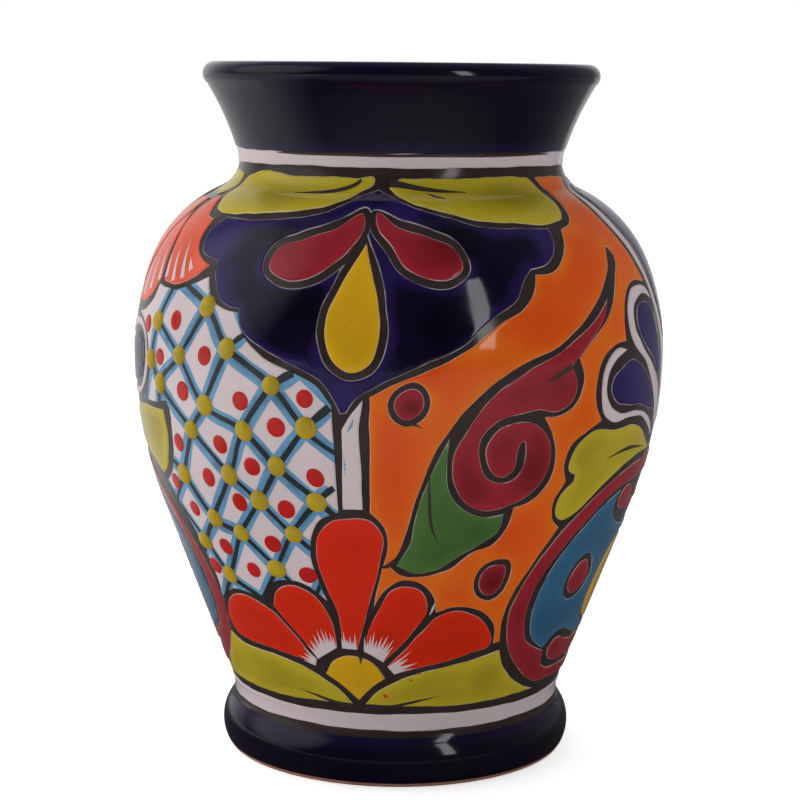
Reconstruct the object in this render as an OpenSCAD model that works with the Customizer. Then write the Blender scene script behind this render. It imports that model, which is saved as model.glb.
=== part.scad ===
// Glazed earthenware vase: a thrown clay shell under a dark line coat, with raised pools of coloured
// glaze between the lines. The ornament is drawn once and repeated round the axis.

/* [Form] */
// Height from the foot to the top of the lip
vase_h = 250; // [225:0.5:280]
// Largest radius of the belly
belly_r = 96.7; // [87:0.1:108]
// Height of the upper part, from the widest line of the belly to the lip
crown_h = 103; // [98:0.5:110]
// Profile radius of the belly below its widest line
low_belly_round = 155; // [140:1:170]
// Profile radius of the belly above its widest line
high_belly_round = 88; // [80:0.5:96]
// Angle of the upper belly arc before the shoulder starts
high_belly_turn = 22; // [18:0.5:26]
// Profile radius of the shoulder
shoulder_round = 48; // [44:0.5:52]
// How far the narrowest line of the neck is set in from the belly
neck_set_in = 37.8; // [34.7:0.1:41.7]
// Profile radius of the throat between shoulder and neck
throat_round = 11.2; // [9:0.1:13]
// Angle past the narrowest line at which the flare takes over
flare_turn = 17; // [12:0.5:22]
// Profile radius of the flaring neck
flare_round = 100; // [85:1:120]
// Radius of the rolled lip
lip_round = 4.25; // [3.8:0.05:5]
// How far the lip is set in from the line of the flare
lip_set_in = 0.5; // [0.2:0.1:1]
// How far the lower body leans out on its way up to the belly
body_run = 44; // [40:0.5:48]
// Height at which that lean starts
lean_start_z = 30; // [24:1:36]
// Profile radius of the waist above the foot
waist_round = 9; // [7:0.5:11]
// How far the foot is set in from the belly
foot_set_in = 32.05; // [28.7:0.05:34.7]
// Profile radius of the rounded foot
foot_round = 14; // [12:0.5:16]
// Height of the middle of the foot rounding
foot_mid_z = 7.5; // [6:0.5:9]

/* [Clay] */
// Thickness of the finished wall
wall_t = 7; // [6:0.1:8]
// Height of the floor inside
floor_z = 12; // [10:0.5:14]
// Radius of the corner between floor and wall inside
floor_round = 18; // [14:0.5:22]
// Width of the foot from its widest line to the inner edge of the standing ring
ring_w = 14.65; // [12.65:0.1:17.65]
// Depth of the recess under the floor
recess_h = 3; // [2:0.25:3.5]
// Chamfer on the inner edge of the standing ring
ring_chamfer = 1.5; // [0.5:0.25:2]

/* [Glaze] */
// Thickness of the dark line coat
coat_t = 0.5; // [0.3:0.05:0.7]
// Thickness of the raised colour pools
pool_t = 0.5; // [0.3:0.05:0.7]
// Thickness of the lining inside
lining_t = 0.6; // [0.4:0.05:0.8]
// Height of the bare clay edge at the foot
bare_foot_h = 1.5; // [1:0.1:2.5]
// Width of the dark line between two pools
line_w = 2.4; // [1.8:0.1:2.8]

/* [Bands] */
// Height of the white stripe on the neck
neck_stripe_h = 4.5; // [3.5:0.1:5]
// Dark line under the white stripe of the neck
neck_line_h = 3.2; // [2.6:0.1:3.6]
// Dark hairline between the white stripe and the rim
rim_line_h = 0.7; // [0.4:0.1:1]
// Height of the white stripe over the foot
foot_stripe_h = 6; // [5:0.1:6.4]
// Dark line on each side of that stripe
foot_line_h = 2.6; // [2.2:0.1:3]
// How far a white stripe starts below the narrowest line of its hollow
stripe_drop = 1; // [0.8:0.1:1.2]

/* [Lattice] */
// Radius of the beads on the crossings
bead_r = 3.6; // [3:0.1:3.7]
// Height of a bead over the line coat
bead_h = 1.9; // [1.4:0.1:2.4]
// Radius of the dots in the cells
dot_r = 3.2; // [2.6:0.1:3.6]
// Thickness of a dot over its cell
dot_t = 0.25; // [0.15:0.05:0.4]
// Width of a strip between two cells
strip_w = 5.4; // [5.2:0.1:6]
// Dark hairline on each side of a strip
strip_gap = 0.4; // [0.2:0.1:0.6]

/* [Hidden] */
$fn = 128;
repeats = 2;
// Length of one step along a drawn outline
outline_step = 6;
// Lowest and highest row of the drawing
drawn_rows = [28.4, 211.8];
// Radius at which the drawing is true to scale
drawn_r = 0.9514 * belly_r;
// How far a curve may bulge past its drawn points
bulge = 4;
deg_mm = drawn_r * PI / 180;
glaze_t = coat_t + pool_t;
// How far a bead or dot is melted into what it lies on
seat = 0.1;

// Profile: what is tied to the height and the belly
belly_z = vase_h - crown_h;
neck_r = belly_r - neck_set_in;
foot_r = belly_r - foot_set_in;
ring_in_r = foot_r - ring_w;
body_rise = belly_z - lean_start_z;

// Profile: centres of the tangent arcs
lean = atan2(body_run, body_rise);
out_dir = [cos(lean), -sin(lean)];
low_belly_c = [belly_r - low_belly_round, belly_z];
high_belly_c = [belly_r - high_belly_round, belly_z];
shoulder_c = high_belly_c
    + (high_belly_round - shoulder_round) * [cos(high_belly_turn), sin(high_belly_turn)];
neck_c = [neck_r + throat_round,
    shoulder_c[1] + sqrt(pow(shoulder_round + throat_round, 2)
        - pow(neck_r + throat_round - shoulder_c[0], 2))];
shoulder_turn = atan2(neck_c[1] - shoulder_c[1], neck_c[0] - shoulder_c[0]);
flare_c = neck_c + (flare_round - throat_round) * [cos(flare_turn), -sin(flare_turn)];
lip_z = vase_h - lip_round;
lip_c = [flare_c[0] - sqrt(pow(flare_round, 2) - pow(lip_z - flare_c[1], 2)) - lip_round - lip_set_in,
    lip_z];
lip_turn = atan2(lip_c[1] - flare_c[1], flare_c[0] - lip_c[0]);
body_d = out_dir * low_belly_c + low_belly_round;
foot_c = [foot_r - foot_round, foot_mid_z];
waist_turn = acos((body_d + waist_round - out_dir * foot_c) / (foot_round + waist_round)) - lean;
waist_c = foot_c + (foot_round + waist_round) * [cos(waist_turn), sin(waist_turn)];
floor_c = [(body_d - wall_t - floor_round + sin(lean) * (floor_z + floor_round)) / cos(lean),
    floor_z + floor_round];

// Heights of the bands
neck_stripe_z = neck_c[1] - stripe_drop;
rim_z = neck_stripe_z + neck_stripe_h + rim_line_h;
field_top = neck_stripe_z - neck_line_h;
foot_stripe_z = waist_c[1] - stripe_drop;
foot_glaze_top = foot_stripe_z - foot_line_h;
field_bottom = foot_stripe_z + foot_stripe_h + foot_line_h;
field_scale = (field_top - field_bottom) / (drawn_rows[1] - drawn_rows[0]);

// Joints of the profile from the foot to the lip: a point and the angle of the way out
low_joint = low_belly_c + low_belly_round * out_dir;
joints = [
    [foot_c + foot_round * [cos(-70), sin(-70)], -70],
    [foot_c + foot_round * [cos(waist_turn), sin(waist_turn)], waist_turn],
    [waist_c - waist_round * out_dir, -lean],
    [low_joint, -lean],
    [[belly_r, belly_z], 0],
    [high_belly_c + high_belly_round * [cos(high_belly_turn), sin(high_belly_turn)], high_belly_turn],
    [shoulder_c + shoulder_round * [cos(shoulder_turn), sin(shoulder_turn)], shoulder_turn],
    [neck_c - throat_round * [cos(flare_turn), -sin(flare_turn)], -flare_turn],
    [flare_c - flare_round * [cos(lip_turn), -sin(lip_turn)], -lip_turn]];
floor_joint = [floor_c + (floor_round + wall_t) * out_dir, -lean];
// Arc above each joint: its centre and radius, less than zero where the profile is hollow
arcs = [[foot_c, foot_round], [waist_c, -waist_round], [], [low_belly_c, low_belly_round],
    [high_belly_c, high_belly_round], [shoulder_c, shoulder_round], [neck_c, -throat_round],
    [flare_c, -flare_round]];
foot_part = 0;
waist_part = 1;
body_part = 2;
throat_part = 6;
flare_part = 7;

// Radius of the finished surface at a height
function surface_r(z) =
    z < joints[2][0][1]
        ? waist_c[0] - sqrt(pow(waist_round, 2) - pow(z - waist_c[1], 2))
    : z < low_joint[1]
        ? (body_d + sin(lean) * z) / cos(lean)
    : z < belly_z
        ? low_belly_c[0] + sqrt(pow(low_belly_round, 2) - pow(z - belly_z, 2))
    : z < joints[5][0][1]
        ? high_belly_c[0] + sqrt(pow(high_belly_round, 2) - pow(z - belly_z, 2))
    : z < joints[6][0][1]
        ? shoulder_c[0] + sqrt(pow(shoulder_round, 2) - pow(z - shoulder_c[1], 2))
    : neck_c[0] - sqrt(pow(throat_round, 2) - pow(z - neck_c[1], 2));

// Lean of the surface outwards from upright at a height, by the rise over one millimetre
function surface_lean(z) = atan2(surface_r(z - 0.5) - surface_r(z + 0.5), 1);

// Smooth closed outline through drawn points [angle, height], where a third value of 1 is a corner
function flat(p) = [p[0] * deg_mm, p[1]];
function unit(v) = v / norm(v);
function turn_at(a, b, c) = unit(unit(b - a) * norm(c - b) + unit(c - b) * norm(b - a));
function leave(p, i) =
    let (n = len(p), a = flat(p[(i + n - 1) % n]), b = flat(p[i]), c = flat(p[(i + 1) % n]))
    p[i][2] == 1 ? unit(c - b) : turn_at(a, b, c);
function arrive(p, i) =
    let (n = len(p), a = flat(p[(i + n - 1) % n]), b = flat(p[i]), c = flat(p[(i + 1) % n]))
    p[i][2] == 1 ? unit(b - a) : turn_at(a, b, c);
function hermite(a, b, u, v, t) =
    (2 * t * t * t - 3 * t * t + 1) * a + (t * t * t - 2 * t * t + t) * u
    + (3 * t * t - 2 * t * t * t) * b + (t * t * t - t * t) * v;
function outline(p) = [
    for (i = [0 : len(p) - 1])
        let (j = (i + 1) % len(p), a = flat(p[i]), b = flat(p[j]), d = norm(b - a),
            n = ceil(d / outline_step))
        for (k = [0 : n - 1]) hermite(a, b, d * leave(p, i), d * arrive(p, j), k / n)
];
// Drawn points moved out by a width, for the hole that a dark line leaves round a pool
function grown(p, w) = [
    for (i = [0 : len(p) - 1])
        let (t = unit(leave(p, i) + arrive(p, i)))
        [p[i][0] + way_round(p) * t[1] * w / deg_mm, p[i][1] - way_round(p) * t[0] * w, p[i][2]]
];
function way_round(p) = sign([for (i = [0 : len(p) - 1])
    let (a = flat(p[i]), b = flat(p[(i + 1) % len(p)])) a[0] * b[1] - a[1] * b[0]] * [for (q = p) 1]);
function mirrored(p, axis) = [for (q = p) [2 * axis - q[0], q[1], q[2]]];
function middle(p) = (min([for (q = p) q[0]]) + max([for (q = p) q[0]])) / 2;

// Flat point seen along the radius at an angle
function height_of(z) = field_bottom + (z - drawn_rows[0]) * field_scale;
function seen(q, angle) =
    let (z = height_of(q[1])) [surface_r(z) * sin(q[0] / deg_mm - angle), z];

// Places a drawing at a point to the last digit
module at(p) {
    whole = [for (v = p) round(v)];
    part = [for (v = p - whole) round(v * 1000) / 1000];
    translate(whole)
        translate(part)
            translate(p - whole - part) children();
}
// Turns a drawing to the last digit
module turned(a) {
    near = atan2(round(sin(a) * 1e6), round(cos(a) * 1e6));
    rotate(near)
        rotate(a - near) children();
}
// Everything on one side of the line that leaves the profile at a joint
module beyond(joint, side) {
    at(joint[0])
        turned(joint[1])
            translate([-belly_r, side > 0 ? 0 : -2 * belly_r]) square(2 * belly_r);
}
module ring_sector(centre, r0, r1, from, to) {
    intersection() {
        at(centre)
            difference() {
                circle(r1);
                circle(r0);
            }
        beyond(from, 1);
        beyond(to, -1);
    }
}
module straight_strip(g0, g1, from, to) {
    intersection() {
        at(from[0])
            turned(from[1])
                translate([g0, 0]) square([g1 - g0, norm(to[0] - from[0]) + wall_t]);
        beyond(to, -1);
    }
}
// Section of a coat between two depths, over one part of the profile
module coat(k, g0, g1) {
    if (k == body_part) {
        straight_strip(g0, g1, joints[k], joints[k + 1]);
    } else {
        r = arcs[k][1];
        sides = [abs(r + g0), abs(r + g1)];
        ring_sector(arcs[k][0], min(sides), max(sides), joints[k], joints[k + 1]);
    }
}
// The same over the painted body, where it lies between two heights
module body_coat(g0, g1, z0, z1) {
    for (k = [waist_part : flare_part])
        if (joints[k][0][1] < z1 && joints[k + 1][0][1] > z0) coat(k, g0, g1);
}

module between(z0, z1) {
    intersection() {
        children();
        translate([0, z0]) square([2 * belly_r, z1 - z0]);
    }
}

module clay_section() {
    outer = -glaze_t;
    inner = lining_t - wall_t;
    depth = -wall_t / 2;
    corner = floor_round + lining_t;
    core = corner + wall_t / 2;
    between(0, vase_h) {
        for (k = [foot_part, waist_part]) coat(k, -wall_t, outer);
        straight_strip(depth, outer, joints[body_part], floor_joint);
        straight_strip(inner, outer, floor_joint, joints[body_part + 1]);
        for (k = [body_part + 1 : flare_part]) coat(k, inner, outer);
        at(lip_c) circle(lip_round - glaze_t);
        ring_sector(floor_c, corner, core + 1, [floor_c, -90], floor_joint);
        at(floor_c)
            translate([-belly_r, recess_h - floor_c[1]])
                square([belly_r, floor_c[1] - recess_h - corner]);
        polygon([
            [floor_c[0] - 1, recess_h],
            [ring_in_r, recess_h],
            [ring_in_r, ring_chamfer],
            [ring_in_r + ring_chamfer, 0],
            [foot_c[0] + foot_round / 2, 0],
            for (a = [-12, waist_turn - 10]) foot_c + (foot_round + depth) * [cos(a), sin(a)],
            waist_c - (waist_round - depth) * [cos(8), -sin(8)],
            floor_joint[0] + depth * out_dir + [1, 2],
            for (a = [-lean - 10, -48, -66, -84]) floor_c + core * [cos(a), sin(a)],
            [floor_c[0] - 1, floor_c[1] - core],
        ]);
    }
}

module lining_section() {
    inner = lining_t - wall_t;
    difference() {
        between(0, vase_h) {
            at(floor_c)
                translate([-belly_r, -floor_round - lining_t]) square([belly_r, lining_t]);
            ring_sector(floor_c, floor_round, floor_round + lining_t, [floor_c, -90], floor_joint);
            straight_strip(-wall_t, inner, floor_joint, joints[body_part + 1]);
            for (k = [body_part + 1 : flare_part]) coat(k, -wall_t, inner);
        }
        at(lip_c) circle(lip_round);
    }
}

module rim_section() {
    difference() {
        at(lip_c) circle(lip_round);
        at(lip_c) circle(lip_round - glaze_t);
        coat(flare_part, -wall_t, -glaze_t);
    }
    between(rim_z, vase_h)
        for (k = [throat_part, flare_part]) coat(k, -glaze_t, 0);
}

// Straight prism along the radius at an angle, through the wall
module along_radius(angle) {
    rotate([0, 0, angle])
        rotate([90, 0, 0])
            translate([0, 0, neck_r / 2])
                linear_extrude(height = 2 * belly_r - neck_r) children();
}

// The layer of pools behind a drawn outline
module pool_skin(p) {
    angles = [for (q = p) q[0]];
    heights = [for (q = p) height_of(q[1])];
    rotate_extrude(angle = max(angles) - min(angles) + 20, start = min(angles) - 100)
        body_coat(-pool_t, 0, min(heights) - bulge, max(heights) + bulge);
}

module shape(p, angle) {
    polygon([for (q = outline(p)) seen(q, angle)]);
}

// Pool of glaze inside each drawn outline, clear of the holes, repeated round the vase
module pools(outlines, holes = []) {
    for (turn = [0 : repeats - 1], p = outlines)
        rotate([0, 0, turn * 360 / repeats])
            intersection() {
                pool_skin(p);
                along_radius(middle(p))
                    difference() {
                        shape(p, middle(p));
                        for (h = holes) shape(h, middle(p));
                    }
            }
}

// Ornament: shoulder
leaf_left = [[-8.2, 210.8], [-12.5, 207.2], [-20, 203], [-30, 200.8], [-42, 199.5], [-54, 199.3],
    [-59, 201.2], [-63, 206.3], [-62.5, 210], [-59, 211.6], [-35, 211.7], [-14, 211.6]];
leaf_right = [[-3.5, 208.6, 1], [0, 205.8], [10, 202.1], [20, 198.8], [30, 197.8], [41, 197.4],
    [45.5, 198.8], [49, 203.5], [49.8, 207], [47.5, 211.2], [44, 211.7], [20, 211.7], [3, 211.6],
    [-1, 211.2]];
leaf_side = [[-65.8, 207.5], [-66.5, 210.8], [-70, 211.6], [-79, 211.6], [-82.5, 208.8], [-79, 205.4],
    [-74, 204.6], [-68.5, 204.8]];

// Ornament: shield
shield = [[-6.6, 208.1, 1], [-12, 206], [-20, 201], [-30, 198.6], [-40, 197.7], [-49.3, 198, 1],
    [-51.9, 192.6], [-50.2, 187], [-44, 184.1, 1], [-42.8, 178.5], [-40, 171.9], [-37, 169.5],
    [-34.4, 169.2, 1], [-33.2, 163], [-28, 157.2], [-20, 151.6], [-15, 146.9], [-12.6, 141.5],
    [-11.4, 137, 1], [-10.2, 137.4, 1], [-8.5, 141.8], [-4, 146.7], [5, 153.8], [12.6, 159.4],
    [18.5, 167.6], [24.7, 173.8], [27.3, 180.5], [29.2, 183.3, 1], [34, 184.8], [37.6, 190.4],
    [38.7, 196.1, 1], [30, 196.3], [22, 196.6], [10, 200.8], [0, 204.6]];
petal_left = [[-9, 200.2], [-8.5, 198], [-10.8, 190.4], [-15, 184.1], [-20, 179.9], [-25, 179.7],
    [-29, 184], [-28.2, 188.8], [-23, 192.3], [-15, 196.3]];
petal_right = [[-6.2, 200.3], [-5.2, 196.5], [-2, 191.2], [1, 184.8], [5, 181.3], [11, 180.9],
    [13.6, 184.5], [12.4, 190], [7.2, 193.8], [0, 196.8]];
shield_drop = [[-7.6, 192, 1], [-5.8, 183.5], [-4.1, 172], [-4, 160], [-5.8, 153.2], [-9, 150.8],
    [-12.2, 153.2], [-14.5, 160.5], [-14.6, 168], [-12.1, 178.5], [-9, 187.8]];

// Ornament: white strip and lattice panel
centre_strip = [[-7, 142, 1], [-7.6, 130], [-7.3, 118], [-7.2, 104.6, 1], [-11.4, 104.4, 1],
    [-11.1, 120], [-11, 132, 1], [-9.5, 136.5]];
panel = [[-13, 139.8, 1], [-15.8, 145.6], [-20.4, 149.7], [-28.3, 155], [-32.5, 161], [-34.5, 168, 1],
    [-37.5, 168.4], [-41.5, 171], [-43.6, 174.5], [-44.8, 178.6, 1], [-49.6, 174.8], [-55, 172.1],
    [-60, 172.2], [-64, 173.2, 1], [-65.4, 168.5], [-68.8, 165], [-75, 162.4, 1], [-72.5, 161.6],
    [-67, 157], [-64.3, 148], [-65.2, 138], [-69, 133, 1], [-65, 132.5], [-56, 134.5, 1],
    [-55.2, 131.5], [-55.2, 124], [-57.3, 112], [-60.4, 107], [-63, 104.8, 1], [-60, 99.4],
    [-56.8, 90], [-54.5, 80], [-53.6, 68], [-54, 62, 1], [-50.5, 66.4], [-44.5, 68.6],
    [-38.8, 67.6], [-36.1, 66, 1], [-34.2, 71.4], [-30.5, 75.4], [-25.1, 75.9], [-20.5, 73.6],
    [-17.5, 69.8, 1], [-18.9, 76.8], [-20, 86], [-19.1, 93.6], [-16.6, 100.2], [-12.4, 103.4, 1],
    [-12.6, 120]];
// Crossings of the lattice, one list for each strip that falls to the right
crossings = [
    [[-47, 190], [-38, 181], [-31, 163], [-20, 152], [-12, 141], [-4, 131], [3, 120]],
    [[-54.5, 177], [-43, 169], [-36.3, 156], [-25.6, 145.3], [-18.3, 132], [-10, 121], [-3, 110]],
    [[-60.3, 161.5], [-50.3, 151.5], [-42.4, 136], [-32.3, 129], [-25.2, 118], [-17, 106.5], [-9, 96]],
    [[-62.4, 147.8], [-58, 140.3], [-47.3, 126.5], [-37.5, 112.7], [-30.5, 105], [-23.3, 94], [-15, 84]],
    [[-68, 131], [-61, 118], [-53, 109.5], [-45.3, 95.3], [-37.7, 91.7], [-29.8, 80], [-22, 68]],
    [[-72, 112], [-66, 108], [-60, 98], [-52.5, 85], [-46.5, 74], [-36.5, 66.5], [-28, 56]],
    [[-76, 96], [-70, 93], [-65, 86], [-58, 73], [-53, 63], [-44, 55], [-36, 46]]];
// First and last bead and first and last dotted cell on each of those strips
bead_span = [[1, 0], [1, 4], [0, 5], [0, 5], [2, 5], [3, 4], [1, 0]];
dot_span = [[3, 3], [0, 4], [0, 4], [1, 5], [1, 4], [3, 3]];
// Where a dot sits from the middle of its cell
dot_shift = [0.8, -1.3];
lattice_middle = -40;

// Ornament: daisy and base leaves
daisy_petals_drawn = [
    [[-10.6, 101.2], [-5.2, 100.2], [-3.2, 95.5], [-3.7, 86], [-5.6, 75], [-7.5, 65.5], [-9.6, 56],
        [-10.6, 51.6, 1], [-14.9, 51.6, 1], [-15, 64.5], [-17.5, 76.8], [-18.6, 87], [-17, 95.5],
        [-14, 100.1]],
    [[-33.6, 64.8, 1], [-31.8, 70.7], [-28, 74], [-24, 73.7], [-20, 70], [-17.3, 63], [-16.4, 55],
        [-16.3, 51.8, 1], [-19.8, 48.7], [-22.8, 46.5, 1], [-26, 52.3]],
    [[-54.3, 53.5], [-52.5, 61], [-49, 65.3], [-44, 66.9], [-38, 65.1], [-33.6, 61.8], [-28.6, 54.5],
        [-24, 46.5, 1], [-23.8, 43.6, 1], [-28, 45.4], [-38, 47.4], [-48, 48.4], [-53, 50.2]],
    [[2.5, 76.5], [-1, 75.2], [-4, 68.5], [-7.2, 59.2], [-8.8, 51.2, 1], [-6.5, 49.3], [-3.5, 47.2, 1],
        [1, 53], [5.3, 60.5], [7.8, 67.5], [7, 73]],
    [[-2.4, 45.4, 1], [1.9, 51.2], [6.9, 59.2], [10.2, 64.3], [15, 66.6], [21, 64], [25.3, 58.6],
        [27.2, 53], [21, 49.2], [11.5, 46], [4.8, 44.2], [-0.3, 42.3, 1]]];
daisy_heart = [[-21, 40.8, 1], [-18.1, 46.2], [-12, 48.8], [-6, 45.8], [-3, 40.5, 1], [-7.5, 36.2],
    [-11.4, 31.2, 1], [-15.5, 36]];
base_leaf_left = [[-13.6, 29.8, 1], [-16.8, 34.4], [-21.4, 38], [-26.3, 41.5], [-33, 44.2],
    [-45, 45.6], [-52, 46.4], [-57, 49.3, 1], [-60.1, 44.5], [-65, 38.6], [-70, 33.5], [-75, 29.3, 1],
    [-45, 28.6]];
base_leaf_right = [[-9.4, 29.8, 1], [-6.4, 34], [-1, 38.5], [4.4, 41.6], [12, 44], [20, 46],
    [30.6, 49.2, 1], [33.2, 43], [38.6, 36.4], [45.3, 31.8], [51, 29.4, 1], [20, 28.7]];

// Ornament: orange panel and what lies in it
orange = [[51, 211.5, 1], [62, 211.6], [72, 211.2, 1], [66, 206], [62.4, 200.5], [62.6, 196],
    [65, 186.6], [68.2, 175.6, 1], [61.5, 176.6], [57.2, 173.2], [54.2, 165], [54, 157.2, 1],
    [50.5, 156.8], [46, 153.2], [43.7, 145], [44, 137], [46, 131.3, 1], [42, 128.4], [38, 124.5],
    [36.5, 117.5], [37.7, 111.5, 1], [35.4, 104], [36.2, 98.5], [39, 94.6, 1], [34.5, 82.7],
    [30.3, 70], [29.2, 60], [30.1, 52.6, 1], [28.2, 52.3, 1], [26.8, 59.8], [21.8, 65.9], [15, 68],
    [10.1, 66.4, 1], [9.3, 72], [6.2, 77], [1, 78.6], [-2.4, 75.4], [-5.6, 68.3, 1], [-4, 79.5],
    [-2, 92], [-3, 99], [-5.7, 103.5, 1], [-5.6, 122], [-5.6, 143.2, 1], [0, 148], [8.4, 153.8],
    [15, 160], [20.2, 166.1], [26.5, 171.8], [29.5, 178.5], [30, 181.7, 1], [34.2, 181.9], [40, 189],
    [42.5, 195.2, 1], [48, 198], [52, 204.5], [53.5, 206.8, 1]];
scroll_bed = [[55.3, 188.2], [56.2, 186.8], [54, 178.5], [50.1, 169.1], [46.5, 163.7], [42, 158.5],
    [38.7, 153.8, 1], [39.9, 147], [38.5, 139.8], [34.5, 135.3], [30.3, 134.9, 1], [32.7, 128],
    [33.9, 120.5], [32.4, 110.6], [29, 105.7], [25.3, 104, 1], [24.6, 97.4], [22, 91.4],
    [17.3, 88.7], [12.5, 83], [6, 80.3], [1, 80.6], [-1.6, 84, 1], [0.8, 90.5], [2.3, 98.6],
    [4.6, 112], [8, 126.3], [12.2, 136.9], [17, 144.8], [24, 152.4], [33.4, 158.1], [38.8, 163.4],
    [45.1, 171.6], [50.9, 181.6]];
scroll = [[49, 172.2, 1], [45.5, 167.4], [40, 161.9], [33.8, 156.2], [25.5, 150.3], [18.4, 142.5],
    [13.8, 132.5], [11, 122.5], [11.5, 113.5], [14, 107.2], [18.5, 103.8], [25, 105.4], [29.5, 109.4],
    [32.5, 117], [32.2, 125.6], [29.2, 132.2], [24.7, 133.9], [20, 131.6], [17.7, 125], [18.8, 118.1],
    [21.7, 115.2], [24, 117.5], [24.7, 124.5], [25.5, 127], [26.4, 121], [25, 115.3], [21.7, 113.3],
    [18.2, 115.8], [16.4, 122.5], [17, 130], [20.6, 135], [26, 136.7], [29, 137.6, 1], [33.4, 136.4],
    [36.6, 139], [38.1, 145.2], [36.7, 151.2, 1], [42.2, 158.9], [47, 165.9]];
scroll_leaf = [[10.2, 129.3, 1], [9.9, 118], [10.9, 110], [14.2, 104.4], [18.5, 101.6],
    [23.2, 102.2, 1], [22.6, 96], [18.5, 91], [14.5, 87.8], [9.5, 82.8], [3.5, 81.6], [0, 84.3, 1],
    [3, 93], [3.8, 101.5], [6.1, 115]];
scroll_dot = [[-0.8, 141], [0.6, 144.6], [3.6, 145.9], [5, 141.5], [3.6, 137], [1.6, 135.5],
    [-0.2, 137.6]];
scroll_seed = [[20.1, 77], [21.5, 82], [24, 83.2], [26.4, 82.4], [26.8, 78], [25.7, 73.2], [23.7, 71.6],
    [21, 73.6]];

// Ornament: medallion on the side, drawn for its left half
medallion_axis = 78;
rim_outer_half = [[70, 112.7], [65, 112.1], [57.5, 109.6], [50, 104.6], [42.5, 96], [37.3, 86.2],
    [32.7, 73.6], [30.8, 63], [32, 54.5], [34.2, 48], [38.4, 41.8], [44, 36], [50.7, 32.4], [58, 31.5]];
rim_inner_half = [[66, 105.4], [59.5, 104.6], [52.5, 99.8], [45, 89.8], [39.8, 79.9], [37, 70],
    [36.8, 60.5], [38.4, 53.6], [44.4, 47.4], [49.4, 45, 1], [50, 41], [53.5, 37.2], [60, 36.2]];
field_half = [[64.8, 90.2], [61.6, 92.5], [59.4, 97], [60.2, 103.2, 1], [57.5, 101.7], [52.5, 98],
    [47.5, 91.4], [42.5, 82.4], [39.4, 71], [38.8, 61.1], [40.3, 54.7], [45, 48.3], [48.8, 46, 1],
    [51.2, 49.4], [55.6, 51.4], [60.8, 49.8], [66, 47.8]];
volute_top = [[61.2, 99], [62, 102.6], [64.6, 104], [68, 102.4], [70.5, 98], [74, 95], [70, 93.8],
    [65, 94.6], [62.2, 96.6]];
volute_base = [[52, 44], [53.2, 47.4], [56, 48.6], [60, 46.8], [66, 45], [74, 44], [74, 38.6],
    [66, 38.4], [58, 38.8], [53.6, 40.8]];
seed = [[50, 71], [50.6, 75], [52.5, 77.8], [55, 78.4], [57.5, 75.7], [59.6, 71.5, 1], [57.8, 68.3],
    [55, 66.3], [52.3, 66.5], [50.5, 68.6]];
core_half = [[73, 80.5], [68.8, 75.5], [66.6, 66], [66.6, 60], [68.8, 54.5], [73, 51.2]];
function whole(half) = concat(half, [for (i = [len(half) - 1 : -1 : 0]) mirrored(half, medallion_axis)[i]]);

// Ornament: side leaves and side flower
side_leaf_left = [[42.6, 127.4], [52, 127], [59, 127.2], [64.2, 124.2], [68.7, 119.4], [74, 115, 1],
    [65, 115.2], [58, 112.8], [50.5, 107.4], [42.8, 99], [39.5, 97.1], [36.8, 100], [36.8, 106],
    [40.2, 111.2, 1], [40.2, 113.4, 1], [38.3, 115], [38.6, 121.5]];
side_leaf_right = [[122, 130.8, 1], [122.8, 124.5], [121.5, 116], [118.8, 109.4], [115.4, 106.4, 1],
    [109, 111.5], [100, 115.2], [90, 117.8, 1], [97, 125], [105, 129]];
drop_low = [[48.4, 142.5], [49, 145.3], [51.7, 148.1], [56, 150.5], [61, 147.5], [66, 141.2], [70, 135],
    [72.5, 129.8, 1], [67.2, 131], [61.3, 133.7], [54.7, 134.9], [50.1, 137.2]];
drop_high = [[60.5, 167.2], [65, 169.2], [69.5, 166.4], [71.6, 159], [73, 150], [73.6, 141.5, 1],
    [69.6, 146.8], [65.4, 151.6], [61, 157.8], [59.7, 163.5]];
drop_top = [[80, 208.3], [73.5, 206], [69.6, 201.5], [69.2, 197], [71.5, 187], [74.5, 175],
    [77.5, 163], [79.5, 153, 1], [82, 163], [85.5, 175], [89, 187], [91, 197], [90.6, 202],
    [86.5, 206]];
drop_side = [[111.8, 148], [111, 153], [108, 155.3], [101, 153.5], [93, 148], [87.5, 137.5, 1],
    [95, 136.5], [102, 137], [107, 138.2], [110, 141.5]];
border_low = [[54.2, 154.2, 1], [51, 155.3], [48, 153], [45.7, 147.5], [45.4, 140.5], [46.5, 133.8],
    [49.2, 130.4], [56, 130.3], [62.5, 129.3], [68, 125.2], [73.4, 119.8, 1], [70.7, 124.7],
    [65.5, 129.6], [59.7, 132], [52.2, 132.8], [48.8, 135.5], [47, 141], [47.4, 147], [50.2, 151.6]];
border_high = [[68.4, 173.2, 1], [64, 175], [59.3, 173.6], [56.3, 168], [55.8, 161.5], [57.8, 155.2],
    [62.5, 149.3], [67.2, 141.2], [72.2, 130.6], [75.5, 122.5, 1], [76.2, 128], [73.4, 138], [67.8, 146.2],
    [60.9, 155.4], [58.4, 161.6], [58.8, 167.3], [62.6, 170.9], [67.8, 171.4, 1]];
border_top = [[80, 211.2], [71, 207.6], [65.4, 203], [64.5, 198.5], [66.4, 189.1], [69.9, 177.9],
    [73.4, 164], [76.2, 150], [77.6, 138], [78, 126, 1], [80, 138], [82.8, 150], [86.6, 164], [90.1, 177.9],
    [93.6, 189.1], [95.5, 198.5], [94.6, 203], [89, 207.6]];
border_side = [[114.4, 147.5], [113.4, 154.5], [110, 159], [105, 160.2], [97, 158], [89, 151],
    [84.2, 140], [80.4, 122, 1], [87, 128.5], [95, 131.8], [104, 132.4], [110, 135.8], [113.2, 140.3]];

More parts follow.
